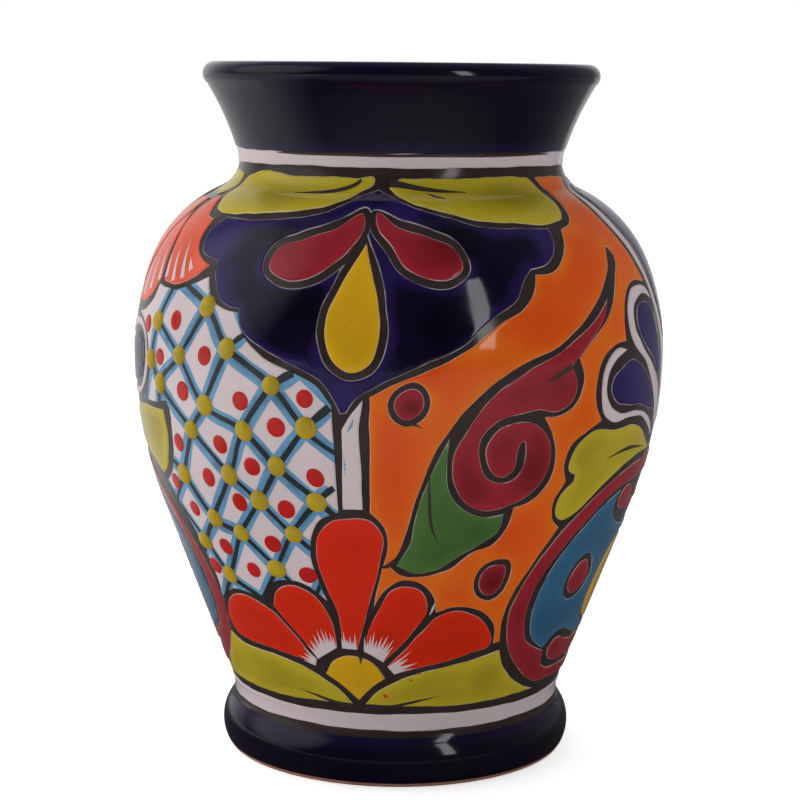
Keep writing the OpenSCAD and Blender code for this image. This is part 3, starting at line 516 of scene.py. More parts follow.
def raised(layer, loops, holes=()):
    """Closed body of glaze with a rounded edge inside flat loops and outside holes, laid on the vase."""
    surface, spacing = current_surface(), bpy.context.scene.vase_glaze.mesh
    bm = flat_region(loops, holes, (0.3 * layer.edge_w, 0.65 * layer.edge_w, layer.edge_w), spacing)
    if sum(face.calc_area() for face in bm.faces) < LEAST_AREA:
        return bmesh.new()
    starts, ends, _ = edge_segments(bm)
    distance = to_segments(np.array([v.co.xy for v in bm.verts]), starts, ends)
    rim, patch_and_sheen = bm.verts.layers.float.new("rim"), bm.verts.layers.float.new("depth")
    for vert, d in zip(bm.verts, distance):
        vert[rim] = float(d)
        # Depth deepens a field where glaze pooled; below 0 it pales it, as thin glaze, and on the right-side cobalt
        # drops as painted sheen
        vert[patch_and_sheen] = glaze_depth_and_sheen(vert.co)
    lifted = bmesh.ops.extrude_face_region(bm, geom=bm.faces[:])
    tops = {v for v in lifted["geom"] if isinstance(v, bmesh.types.BMVert)}
    for vert in bm.verts:
        depth = layer.bottom
        if vert in tops:
            fall = max(0.0, 1 - vert[rim] / layer.edge_w)
            depth = layer.top - layer.edge_h * (1 - math.sqrt(1 - fall ** 2))
        vert.co = surface.place(vert.co.x, vert.co.y, depth)
    return bm


def pool():
    """The layer of a field of colour."""
    g = bpy.context.scene.vase_glaze
    return Layer(-g.under, -g.pool, g.edge_w, g.edge_h)


def brush(depth):
    """The layer of a thin brush stroke that lies at a depth under the finish."""
    return Layer(-depth, -bpy.context.scene.vase_glaze.pool, *BRUSH_EDGE)


def collect(parts):
    """Joins small meshes and repeats them on the other half of the vase."""
    bm = bmesh.new()
    for name in ("rim", "depth"):
        bm.verts.layers.float.new(name)
    for part in parts:
        mesh = bpy.data.meshes.new("part")
        part.to_mesh(mesh)
        part.free()
        bm.from_mesh(mesh)
        bpy.data.meshes.remove(mesh)
    copy = bmesh.ops.duplicate(bm, geom=bm.verts[:] + bm.edges[:] + bm.faces[:])
    verts = [v for v in copy["geom"] if isinstance(v, bmesh.types.BMVert)]
    bmesh.ops.rotate(bm, verts=verts, cent=(0, 0, 0), matrix=Matrix.Rotation(math.pi, 3, "Z"))
    return bm


def field(points, beds=()):
    """One field of glaze inside a drawn outline, clear of the beds of other fields."""
    return raised(pool(), [drawn(points)], [drawn(bed, BED_TURN) for bed in beds])


def fields(node, look, outlines, beds=()):
    """Piece made of fields of glaze that stands for a CAD node."""
    finish_piece(collect([field(points, beds) for points in outlines]), f"{node}_fired", look, node)


def brushed(marks, depth=BRUSH_DEPTH):
    """Outlines and depths of brush strokes, from their points and widths."""
    return [(stroke(points, widths), depth) for points, widths in marks]


def strokes(name, look, lines, inside=(), node=None):
    """Piece made of thin brush strokes over the fields, from their outlines and depths."""
    finish_piece(collect([raised(brush(depth), [line, *inside]) for line, depth in lines]), name, look, node)


# Materials

# Colour of the broken pale line at the edge of a field, and refraction of the glaze
HAIRLINE, GLAZE_IOR = (0.55, 0.5, 0.47), 1.45


def node(tree, kind, inputs=(), **settings):
    made = tree.nodes.new(kind)
    for key, value in settings.items():
        setattr(made, key, value)
    for key, value in dict(inputs).items():
        if isinstance(value, bpy.types.NodeSocket):
            tree.links.new(value, made.inputs[key])
        else:
            made.inputs[key].default_value = value
    return made


def maths(tree, operation, a, b):
    return node(tree, "ShaderNodeMath", {0: a, 1: b}, operation=operation).outputs["Value"]


def along(tree, vector, way):
    return node(tree, "ShaderNodeVectorMath", {0: vector, 1: way}, operation="DOT_PRODUCT").outputs["Value"]


def noise(tree, scale, detail=3.0):
    place = node(tree, "ShaderNodeTexCoord").outputs["Object"]
    return node(tree, "ShaderNodeTexNoise", {"Vector": place, "Scale": scale, "Detail": detail}).outputs["Fac"]


def remap(tree, value, low, high, to_low, to_high):
    return node(tree, "ShaderNodeMapRange", {"Value": value, "From Min": low, "From Max": high, "To Min": to_low,
                                             "To Max": to_high}).outputs["Result"]


def blended(tree, fac, a, b):
    a, b = (c if isinstance(c, bpy.types.NodeSocket) else (*c[:3], 1) for c in (a, b))
    return node(tree, "ShaderNodeMix", {0: fac, 6: a, 7: b}, data_type="RGBA").outputs[2]


def grey(value):
    return value, value, value


def shaded(base, factor):
    return [min(1, c * factor) for c in base]


def tone_of(base, change):
    """The base made paler or deeper by a factor, or another colour in its place."""
    return shaded(base, change) if isinstance(change, float) else change


def glaze(name, base, edge=1.25, deep=0.62, cloud=30.0, reach=5.0, pale_edge=0.0, bump=0.15, gloss=0.07):
    """Glossy glaze: another tone near the edge of a field, clouds of a deeper tone and a slightly wavy surface."""
    material = bpy.data.materials.new(name)
    material.use_nodes = True
    tree = material.node_tree
    shader = tree.nodes["Principled BSDF"]
    rim = node(tree, "ShaderNodeAttribute", attribute_name="rim").outputs["Fac"]
    patch_and_sheen = node(tree, "ShaderNodeAttribute", attribute_name="depth").outputs["Fac"]
    clouds = maths(tree, "MAXIMUM", patch_and_sheen, remap(tree, noise(tree, cloud, 4), 0.4, 0.75, 0, 0.8))
    tone = blended(tree, clouds, base, tone_of(base, deep))
    wavy_rim = maths(tree, "ADD", rim, remap(tree, noise(tree, 90), 0.3, 0.7, -1.2, 1.2))
    # Paler edge tone where the glaze runs thin at a field's edge and where depth is below 0: thin glaze, and painted
    # sheen on the right-side cobalt drops
    thin = maths(tree, "SUBTRACT", remap(tree, wavy_rim, 0.12 * reach, reach, 0.75, 0), patch_and_sheen)
    tone = blended(tree, thin, tone, tone_of(base, edge))
    if pale_edge:
        hair = remap(tree, rim, 0.16, 0.34, pale_edge, 0)
        broken = remap(tree, noise(tree, 140, 2), 0.35, 0.6, 0.25, 1)
        tone = blended(tree, maths(tree, "MULTIPLY", hair, broken), tone, HAIRLINE)
    specks = remap(tree, noise(tree, 900, 1), 0.72, 0.78, 0, 0.45)
    tone = blended(tree, specks, tone, shaded(base, 0.4))
    tree.links.new(tone, shader.inputs["Base Color"])
    tree.links.new(remap(tree, noise(tree, 55), 0.3, 0.7, gloss * 0.8, gloss * 1.6), shader.inputs["Roughness"])
    wave = node(tree, "ShaderNodeBump", {"Height": noise(tree, 38, 2), "Strength": bump, "Distance": 0.002})
    tree.links.new(wave.outputs["Normal"], shader.inputs["Normal"])
    shader.inputs["IOR"].default_value = GLAZE_IOR
    return material


def bare_clay(name, base):
    """Fired earthenware: matt, grainy, with paler and darker patches."""
    material = bpy.data.materials.new(name)
    material.use_nodes = True
    tree = material.node_tree
    shader = tree.nodes["Principled BSDF"]
    tone = blended(tree, remap(tree, noise(tree, 40, 5), 0.3, 0.7, 0, 1), shaded(base, 0.8), shaded(base, 1.2))
    tone = blended(tree, remap(tree, noise(tree, 700, 2), 0.62, 0.7, 0, 0.6), tone, shaded(base, 0.45))
    tree.links.new(tone, shader.inputs["Base Color"])
    shader.inputs["Roughness"].default_value = 0.85
    grain = node(tree, "ShaderNodeBump", {"Height": noise(tree, 600, 3), "Strength": 0.3, "Distance": 0.0006})
    tree.links.new(grain.outputs["Normal"], shader.inputs["Normal"])
    return material


def palette(name):
    """The vase's materials, each made when a piece first asks for it."""
    c = bpy.context.scene.vase_colours
    if name in bpy.data.materials:
        return bpy.data.materials[name]
    if name == "bare_clay":
        return bare_clay(name, c.clay)
    orange = c.orange
    looks = {
        "dark_line": dict(base=c.line, deep=0.5, cloud=60, bump=0.3, gloss=0.12),
        "lattice_ink": dict(base=c.ink, deep=0.5, cloud=60, bump=0.3, gloss=0.12),
        "cobalt_glaze": dict(base=c.night, edge=c.cobalt, deep=0.4, cloud=22, pale_edge=0.7),
        "rim_cobalt": dict(base=shaded(c.night, 0.7), edge=c.rim, deep=shaded(c.line, 0.3), cloud=20, reach=4.5,
                           bump=0.12),
        "white_glaze": dict(base=c.white, edge=0.97, deep=0.9, cloud=45),
        "lime_glaze": dict(base=c.lime, edge=1.15, deep=0.66, cloud=34, pale_edge=0.5),
        "magenta_glaze": dict(base=c.magenta, edge=1.3, deep=c.maroon, pale_edge=0.6),
        "yellow_glaze": dict(base=c.yellow, edge=1.1, deep=0.72, pale_edge=0.4),
        "sky_glaze": dict(base=shaded(c.sky, 0.5), edge=c.sky, deep=shaded(c.sky, 0.36), cloud=80, reach=2.6),
        "bead_glaze": dict(base=c.bead, deep=0.7, cloud=90),
        "dot_glaze": dict(base=c.dot, deep=0.75, cloud=90),
        "red_glaze": dict(base=c.red, edge=1.1, deep=0.78, pale_edge=0.55),
        "coral_glaze": dict(base=c.coral, edge=1.1, deep=0.8, pale_edge=0.55),
        "orange_glaze": dict(base=orange, edge=(orange[0], orange[1] * 1.5, orange[2]),
                             deep=(orange[0] * 0.9, orange[1] * 0.66, orange[2] * 0.7), cloud=18, pale_edge=0.6),
        "green_glaze": dict(base=c.green, edge=1.2, deep=0.6, cloud=40, pale_edge=0.5),
        "turquoise_glaze": dict(base=c.turquoise, edge=1.2, deep=0.65, cloud=36, pale_edge=0.5),
    }
    return glaze(name, **looks[name])


# Drawn ornament: points are (degrees, height), and a third value of 1 marks a corner

LEAF_LEFT = [(-8.2, 210.8), (-12.5, 207.2), (-20, 203), (-30, 200.8), (-42, 199.5), (-54, 199.3), (-59, 201.2),
             (-63, 206.3), (-62.5, 210), (-59, 211.6), (-35, 211.7), (-14, 211.6)]
LEAF_RIGHT = [(-3.5, 208.6, 1), (0, 205.8), (10, 202.1), (20, 198.8), (30, 197.8), (41, 197.4), (45.5, 198.8),
              (49, 203.5), (49.8, 207), (47.5, 211.2), (44, 211.7), (20, 211.7), (3, 211.6), (-1, 211.2)]
LEAF_SIDE = [(-65.8, 207.5), (-66.5, 210.8), (-70, 211.6), (-79, 211.6), (-82.5, 208.8), (-79, 205.4), (-74, 204.6),
             (-68.5, 204.8)]
SHIELD = [(-6.6, 208.1, 1), (-12, 206), (-20, 201), (-30, 198.6), (-40, 197.7), (-49.3, 198, 1), (-51.9, 192.6),
          (-50.2, 187), (-44, 184.1, 1), (-42.8, 178.5), (-40, 171.9), (-37, 169.5), (-34.4, 169.2, 1),
          (-33.2, 163), (-28, 157.2), (-20, 151.6), (-15, 146.9), (-12.6, 141.5), (-11.4, 137, 1),
          (-10.2, 137.4, 1), (-8.5, 141.8), (-4, 146.7), (5, 153.8), (12.6, 159.4), (18.5, 167.6), (24.7, 173.8),
          (27.3, 180.5), (29.2, 183.3, 1), (34, 184.8), (37.6, 190.4), (38.7, 196.1, 1), (30, 196.3), (22, 196.6),
          (10, 200.8), (0, 204.6)]
PETAL_LEFT = [(-9, 200.2), (-8.5, 198), (-10.8, 190.4), (-15, 184.1), (-20, 179.9), (-25, 179.7), (-29, 184),
              (-28.2, 188.8), (-23, 192.3), (-15, 196.3)]
PETAL_RIGHT = [(-6.2, 200.3), (-5.2, 196.5), (-2, 191.2), (1, 184.8), (5, 181.3), (11, 180.9), (13.6, 184.5),
               (12.4, 190), (7.2, 193.8), (0, 196.8)]
SHIELD_DROP = [(-7.6, 192, 1), (-5.8, 183.5), (-4.1, 172), (-4, 160), (-5.8, 153.2), (-9, 150.8), (-12.2, 153.2),
               (-14.5, 160.5), (-14.6, 168), (-12.1, 178.5), (-9, 187.8)]
CENTRE_STRIP = [(-7, 142, 1), (-7.6, 130), (-7.3, 118), (-7.2, 104.6, 1), (-11.4, 104.4, 1), (-11.1, 120),
                (-11, 132, 1), (-9.5, 136.5)]
PANEL = [(-13, 139.8, 1), (-15.8, 145.6), (-20.4, 149.7), (-28.3, 155), (-32.5, 161), (-34.5, 168, 1),
         (-37.5, 168.4), (-41.5, 171), (-43.6, 174.5), (-44.8, 178.6, 1), (-49.6, 175.5), (-55, 172.9),
         (-60, 173), (-64, 173.8, 1), (-65.4, 168.5), (-68.8, 165), (-75, 162.4, 1), (-72.5, 161.6), (-67, 157),
         (-64.3, 148), (-65.2, 138), (-69, 133, 1), (-65, 132.5), (-56, 134.5, 1), (-55.2, 131.5), (-55.2, 124),
         (-57.3, 112), (-60.4, 107), (-63, 104.8, 1), (-60, 99.4), (-56.8, 90), (-54.5, 80), (-53.6, 68),
         (-54, 62, 1), (-50.5, 66.4), (-44.5, 68.6), (-38.8, 67.6), (-36.1, 66, 1), (-34.2, 71.4), (-30.5, 75.4),
         (-25.1, 75.9), (-20.5, 73.6), (-17.5, 69.8, 1), (-18.9, 76.8), (-20, 86), (-19.1, 93.6), (-16.6, 100.2),
         (-12.4, 103.4, 1), (-12.6, 120)]
CROSSINGS = [
    [(-47, 190), (-38, 181), (-31, 163), (-20, 152), (-12, 141), (-4, 131), (3, 120)],
    [(-54.5, 177), (-43, 169), (-36.3, 156), (-25.6, 145.3), (-18.3, 132), (-10, 121), (-3, 110)],
    [(-60.3, 161.5), (-50.3, 151.5), (-42.4, 136), (-32.3, 129), (-25.2, 118), (-17, 106.5), (-9, 96)],
    [(-62.4, 147.8), (-58, 140.3), (-47.3, 126.5), (-37.5, 112.7), (-30.5, 105), (-23.3, 94), (-15, 84)],
    [(-68, 131), (-61, 118), (-53, 109.5), (-45.3, 95.3), (-37.7, 91.7), (-29.8, 80), (-22, 68)],
    [(-72, 112), (-66, 108), (-60, 98), (-52.5, 85), (-46.5, 74), (-36.5, 66.5), (-28, 56)],
    [(-76, 96), (-70, 93), (-65, 86), (-58, 73), (-53, 63), (-44, 55), (-36, 46)]]
BEAD_SPAN = [(1, 0), (1, 4), (0, 5), (0, 5), (2, 5), (3, 4), (1, 0)]
DOTS = [(-52.7, 162.9), (-42.3, 152.7), (-58.2, 149.4), (-49.3, 139.4), (-32.8, 139.1), (-18.4, 141.7), (-24.7, 131.4),
        (-38.9, 123.1), (-52.7, 120.7), (-31.1, 116.9), (-16.8, 115.1), (-44, 110.4), (-58, 105.3), (-35.9, 103.3),
        (-24.1, 103), (-52.5, 96.9), (-29.2, 89.4), (-44.5, 84.9), (-37, 78), (-21.4, 79.1), (-52, 75.7),
        (-66, 159.5)]
# Rows from which the upright lines of the lattice run; some end above as a thick stub with a blue smear beside it
LINE_STARTS = (0, 0, 1, 1, 1, 2, 1)
STUBS = [
    ([(-35.6, 157), (-33.4, 159.8), (-32.2, 161)], (1.6, 2, 1.6)),
    ([(-25.2, 145.6), (-22.6, 148.4), (-20.8, 149.9)], (2, 2.8, 2.4)),
    ([(-17.8, 133), (-15, 137), (-13.4, 139.2)], (2, 2.8, 2.8)),
    ([(-16.6, 107.2), (-14.2, 110.6), (-13, 111.9)], (1.8, 2.4, 2))]
SMEARS = [
    ([(-36, 155), (-33, 158.2), (-31.8, 159.8)], (3, 2.6, 1.4)),
    ([(-24.6, 144), (-21.4, 146.8), (-19.6, 148.6)], (3.6, 2.8, 1.6)),
    ([(-17.6, 131), (-14.6, 135), (-13.2, 136.8)], (3, 2.4, 1.2)),
    ([(-17.6, 107.4), (-16, 110.4), (-14.4, 112.4)], (3.2, 2.4, 1)),
    ([(-9.8, 131.4), (-9.1, 133.6), (-8.7, 135.8)], (0.3, 1.1, 0.3)),
    ([(-10.7, 122.4), (-10.5, 119.6), (-10.6, 117)], (0.2, 0.8, 0.2))]
DAISY = [
    [(-10.6, 101.2), (-5.2, 100.2), (-3.2, 95.5), (-3.7, 86), (-5.6, 75), (-7.5, 65.5), (-9.6, 56), (-10.6, 51.6, 1),
     (-14.9, 51.6, 1), (-15, 64.5), (-17.5, 76.8), (-18.6, 87), (-17, 95.5), (-14, 100.1)],
    [(-33.6, 64.8, 1), (-31.8, 70.7), (-28, 74), (-24, 73.7), (-20, 70), (-17.3, 63), (-16.4, 55), (-16.3, 51.8, 1),
     (-19.8, 48.7), (-22.8, 46.5, 1), (-26, 52.3)],
    [(-54.3, 53.5), (-52.5, 61), (-49, 65.3), (-44, 66.9), (-38, 65.1), (-33.6, 61.8), (-28.6, 54.5), (-24, 46.5, 1),
     (-23.8, 43.6, 1), (-28, 45.4), (-38, 47.4), (-48, 48.4), (-53, 50.2)],
    [(2.5, 76.5), (-1, 75.2), (-4, 68.5), (-7.2, 59.2), (-8.8, 51.2, 1), (-6.5, 49.3), (-3.5, 47.2, 1), (1, 53),
     (5.3, 60.5), (7.8, 67.5), (7, 73)],
    [(-2.4, 45.4, 1), (1.9, 51.2), (6.9, 59.2), (10.2, 64.3), (15, 66.6), (21, 64), (25.3, 58.6), (27.2, 53),
     (21, 49.2), (11.5, 46), (4.8, 44.2), (-0.3, 42.3, 1)]]
HEART = [(-21, 40.8, 1), (-18.1, 46.2), (-12, 48.8), (-6, 45.8), (-3, 40.5, 1), (-7.5, 36.2), (-11.4, 31.2, 1),
         (-15.5, 36)]
# White flames at the foot of each petal: ends of their base, then their tips
FLAMES = [
    ((-23.9, 43.7), (-23.2, 46.3), [(-27.5, 45.2), (-28.6, 47), (-27, 48.2), (-26.6, 50.4)]),
    ((-22.7, 46.6), (-16.5, 51.8), [(-25.2, 51.8), (-24.2, 54), (-23.4, 53.2), (-23, 56), (-21.6, 58.2), (-21, 55.6),
                                    (-20.4, 59), (-19.2, 58.2), (-18.4, 55.4), (-18, 57.6), (-17.2, 56.4)]),
    ((-14.9, 51.7), (-10.7, 51.7), [(-14.8, 56), (-14.2, 58.6), (-13.2, 55.4), (-12.4, 57), (-11.8, 54.8), (-11, 58)]),
    ((-8.8, 51.3), (-3.6, 47.3), [(-8.4, 57), (-7.4, 55.4), (-6.6, 58), (-5.6, 59.2), (-5, 56), (-3.6, 57.4),
                                  (-2, 57.8), (-1.8, 55), (-0.4, 56.6), (-0.6, 53.6)]),
    ((-2.3, 45.4), (-0.4, 42.5), [(2.6, 49.8), (4.4, 52), (3.4, 48.6), (6.2, 47), (4.6, 46), (5.6, 45)])]
# Accidental marks of the brush: specks of red, and a fleck of white between two petals
SPECKS = [([(-3.7, 33.9), (-3, 33.6), (-2.4, 33.4)], (0.5, 1.2, 0.4)),
          ([(4.1, 40.2), (4.6, 40), (5.1, 39.9)], (0.3, 0.7, 0.3)),
          ([(6.2, 42.9), (6.6, 42.7), (7, 42.4)], (0.2, 0.6, 0.2))]
FLECK = ([(8.5, 65.6), (9.2, 68), (9.6, 70)], (0.2, 0.9, 0.2))
BASE_LEAF_LEFT = [(-13.6, 29.8, 1), (-16.8, 34.4), (-21.4, 38), (-26.3, 41.5), (-33, 44.2), (-45, 45.6), (-52, 46.4),
                  (-57, 49.3, 1), (-60.1, 44.5), (-65, 38.6), (-70, 33.5), (-75, 29.3, 1), (-45, 28.6)]
BASE_LEAF_RIGHT = [(-9.4, 29.8, 1), (-6.4, 34), (-1, 38.5), (4.4, 41.6), (12, 44), (20, 46), (30.6, 49.2, 1),
                   (33.2, 43), (38.6, 36.4), (45.3, 31.8), (51, 29.4, 1), (20, 28.7)]
ORANGE = [(51, 211.5, 1), (62, 211.6), (72, 211.2, 1), (66, 206), (62.4, 200.5), (62.6, 196), (65, 186.6),
          (68.2, 175.6, 1), (61.5, 176.6), (57.2, 173.2), (54.2, 165), (54, 157.2, 1), (50.5, 156.8), (46, 153.2),
          (43.7, 145), (44, 137), (46, 131.3, 1), (42, 128.4), (38, 124.5), (36.5, 117.5), (37.7, 111.5, 1),
          (35.4, 104), (36.2, 98.5), (39, 94.6, 1), (34.5, 82.7), (30.3, 70), (29.2, 60), (30.1, 52.6, 1),
          (28.2, 52.3, 1), (26.8, 59.8), (21.8, 65.9), (15, 68), (10.1, 66.4, 1), (9.3, 72), (6.2, 77), (1, 78.6),
          (-2.4, 75.4), (-5.6, 68.3, 1), (-4, 79.5), (-2, 92), (-3, 99), (-5.7, 103.5, 1), (-5.6, 122),
          (-5.6, 143.2, 1), (0, 148), (8.4, 153.8), (15, 160), (20.2, 166.1), (26.5, 171.8), (29.5, 178.5),
          (30, 181.7, 1), (34.2, 181.9), (40, 189), (42.5, 195.2, 1), (48, 198), (52, 204.5), (53.5, 206.8, 1)]
SCROLL_BED = [(56.2, 188.4), (56.8, 186.8), (54, 178.5), (50.1, 169.1), (46.5, 163.7), (42, 158.5), (38.7, 153.8, 1),
              (39.9, 147), (38.5, 139.8), (34.5, 135.3), (30.3, 134.9, 1), (32.7, 128), (33.9, 120.5), (32.4, 110.6),
              (29, 105.7), (25.3, 104, 1), (24.6, 97.4), (22, 91.4), (17.3, 88.7), (12.5, 83), (6, 80.3), (1, 80.6),
              (-1.6, 84, 1), (0.8, 90.5), (2.3, 98.6), (4.6, 112), (8, 126.3), (12.2, 136.9), (17, 144.8),
              (24, 152.4), (33.4, 158.1), (38.8, 163.4), (45.5, 171.6), (52.2, 181.6)]
SCROLL = [(49, 172.2, 1), (45.5, 167.4), (40, 161.9), (33.8, 156.2), (25.5, 150.3), (18.4, 142.5), (13.8, 132.5),
          (11, 122.5), (11.5, 113.5), (14, 107.2), (18.5, 103.8), (25, 105.4), (29.5, 109.4), (32.5, 117),
          (32.2, 125.6), (29.2, 132.2), (24.7, 133.9), (20, 131.6), (17.7, 125), (18.8, 118.1), (21.7, 115.2),
          (24, 117.5), (24.7, 124.5), (25.5, 127), (26.4, 121), (25, 115.3), (21.7, 113.3), (18.2, 115.8),
          (16.4, 122.5), (17, 130), (20.6, 135), (26, 136.7), (29, 137.6, 1), (33.4, 136.4), (36.6, 139),
          (38.1, 145.2), (36.7, 151.2, 1), (42.2, 158.9), (47, 165.9)]
SCROLL_LEAF = [(10.2, 129.3, 1), (9.9, 118), (10.9, 110), (14.2, 104.4), (18.5, 101.6), (23.2, 102.2, 1), (22.6, 96),
               (18.5, 91), (14.5, 87.8), (9.5, 82.8), (3.5, 81.6), (0, 84.3, 1), (3, 93), (3.8, 101.5), (6.1, 115)]
SCROLL_DOT = [(-0.8, 141), (0.6, 144.6), (3.6, 145.9), (5, 141.5), (3.6, 137), (1.6, 135.5), (-0.2, 137.6)]
SCROLL_SEED = [(20.1, 77), (21.5, 82), (24, 83.2), (26.4, 82.4), (26.8, 78), (25.7, 73.2), (23.7, 71.6), (21, 73.6)]
MEDALLION_AXIS = 78
RIM_OUTER_HALF = [(70, 112.7), (65, 112.1), (57.5, 109.6), (50, 104.6), (42.5, 96), (37.3, 86.2), (32.7, 73.6),
                  (30.8, 63), (32, 54.5), (34.2, 48), (38.4, 41.8), (44, 36), (50.7, 32.4), (58, 31.5)]
RIM_INNER_HALF = [(66, 105.4), (59.5, 104.6), (52.5, 99.8), (45, 89.8), (39.8, 79.9), (37, 70), (36.8, 60.5),
                  (38.4, 53.6), (44.4, 47.4), (49.4, 45, 1), (50, 41), (53.5, 37.2), (60, 36.2)]
FIELD_HALF = [(64.8, 90.2), (61.6, 92.5), (59.4, 97), (60.2, 103.2, 1), (57.5, 101.7), (52.5, 98), (47.5, 91.4),
              (42.5, 82.4), (39.4, 71), (38.8, 61.1), (40.3, 54.7), (45, 48.3), (48.8, 46, 1), (51.2, 49.4),
              (55.6, 51.4), (60.8, 49.8), (66, 47.8)]
VOLUTE_TOP = [(61.2, 99), (62, 102.6), (64.6, 104), (68, 102.4), (70.5, 98), (74, 95), (70, 93.8), (65, 94.6),
              (62.2, 96.6)]
VOLUTE_BASE = [(52, 44), (53.2, 47.4), (56, 48.6), (60, 46.8), (66, 45), (74, 44), (74, 38.6), (66, 38.4), (58, 38.8),
               (53.6, 40.8)]
SEED = [(50, 71), (50.6, 75), (52.5, 77.8), (55, 78.4), (57.5, 75.7), (59.6, 71.5, 1), (57.8, 68.3), (55, 66.3),
        (52.3, 66.5), (50.5, 68.6)]
CORE_HALF = [(73, 80.5), (68.8, 75.5), (66.6, 66), (66.6, 60), (68.8, 54.5), (73, 51.2)]
SIDE_LEAF_LEFT = [(42.6, 127.4), (52, 127), (59, 127.2), (64.2, 124.2), (68.7, 119.4), (74, 115, 1), (65, 115.2),
                  (58, 112.8), (50.5, 107.4), (42.8, 99), (39.5, 97.1), (36.8, 100), (36.8, 106), (40.2, 111.2, 1),
                  (40.2, 113.4, 1), (38.3, 115), (38.6, 121.5)]
SIDE_LEAF_RIGHT = [(122, 130.8, 1), (122.8, 124.5), (121.5, 116), (118.8, 109.4), (115.4, 106.4, 1), (109, 111.5),
                   (100, 115.2), (90, 117.8, 1), (97, 125), (105, 129)]
DROP_LOW = [(48.4, 142.5), (49, 145.3), (51.7, 148.1), (56, 150.5), (61, 147.5), (66, 141.2), (70, 135),
            (72.5, 129.8, 1), (67.2, 131), (61.3, 133.7), (54.7, 134.9), (50.1, 137.2)]
DROP_HIGH = [(60.5, 167.2), (65, 169.2), (69.5, 166.4), (71.6, 159), (73, 150), (73.6, 141.5, 1), (69.6, 146.8),
             (65.4, 151.6), (61, 157.8), (59.7, 163.5)]
DROP_TOP = [(80, 208.3), (73.5, 206), (69.6, 201.5), (69.2, 197), (71.5, 187), (74.5, 175), (77.5, 163),
            (79.5, 153, 1), (82, 163), (85.5, 175), (89, 187), (91, 197), (90.6, 202), (86.5, 206)]
DROP_SIDE = [(111.8, 148), (111, 153), (108, 155.3), (101, 153.5), (93, 148), (87.5, 137.5, 1), (95, 136.5),
             (102, 137), (107, 138.2), (110, 141.5)]
BORDER_LOW = [(54.2, 154.2, 1), (51, 155.3), (48, 153), (45.7, 147.5), (45.4, 140.5), (46.5, 133.8), (49.2, 130.4),
              (56, 130.3), (62.5, 129.3), (68, 125.2), (73.4, 119.8, 1), (70.7, 124.7), (65.5, 129.6), (59.7, 132),
              (52.2, 132.8), (48.8, 135.5), (47, 141), (47.4, 147), (50.2, 151.6)]
BORDER_HIGH = [(71, 169.4, 1), (68.2, 173.4), (64, 175), (59.3, 173.6), (56.3, 168), (55.8, 161.5), (57.8, 155.2),
               (62.5, 149.3), (67.2, 141.2), (72.2, 130.6), (75.5, 122.5, 1), (76.2, 128), (73.4, 138),
               (67.8, 146.2), (60.9, 155.4), (58.4, 161.6), (58.8, 167.3), (62.6, 171.2), (67.2, 171.5)]
BORDER_TOP = [(80, 211.2), (71, 207.6), (65.4, 203), (64.5, 198.5), (66.4, 189.1), (69.9, 177.9), (73.4, 164),
              (76.2, 150), (77.6, 138), (78, 126, 1), (80, 138), (82.8, 150), (86.6, 164), (90.1, 177.9), (93.6, 189.1),
              (95.5, 198.5), (94.6, 203), (89, 207.6)]
BORDER_SIDE = [(114.4, 147.5), (113.4, 154.5), (110, 159), (105, 160.2), (97, 158), (89, 151), (84.2, 140),
               (80.4, 122, 1), (87, 128.5), (95, 131.8), (104, 132.4), (110, 135.8), (113.2, 140.3)]
FLOWER = [
    [(-66.3, 203.7, 1), (-63.5, 203.4), (-60, 200), (-57.5, 197.6), (-54.2, 197, 1), (-53.4, 189.5), (-50, 184.9),
     (-45.6, 182.2, 1), (-49.5, 178), (-57, 174.4), (-62.2, 175.2, 1), (-64.3, 187), (-67.5, 199.5)],
    [(-70.2, 199, 1), (-67, 192.5), (-65, 183), (-63.9, 176, 1), (-67.5, 169.6), (-73.3, 166.2), (-78.6, 167, 1),
     (-76, 180), (-73.6, 191)],
    [(-71.4, 202.8, 1), (-72.2, 198), (-75.2, 190), (-77.6, 180), (-79.6, 170.5, 1), (-82.5, 181), (-82.5, 196),
     (-79.5, 203.2, 1)]]
# White strokes on the red flower: from the petal's edge to the tip, and their widths there
FLOWER_STROKES = [((-61.4, 176.4), (-62.7, 184.8)), ((-57.6, 175.6), (-60.2, 188)), ((-54, 177), (-57.2, 190)),
                  ((-51.6, 180), (-53.4, 184)), ((-65, 174.8), (-67.3, 187.4)), ((-69.2, 171.2), (-70, 184.6)),
                  ((-73.6, 168.4), (-73.6, 185.4))]
FLOWER_STROKE_W = (2.4, 0.05)
# Thin dark line along the upper edge of the white stripe on the throat: points and widths
NECK_LINE = ([(-46, 219.2), (-36, 219.1), (-20, 219.2), (-4, 219), (12, 219.2), (28, 219), (44, 219.2), (60, 219.1)],
             (0.2, 0.8, 1.1, 0.9, 1.1, 0.9, 1, 0.3))
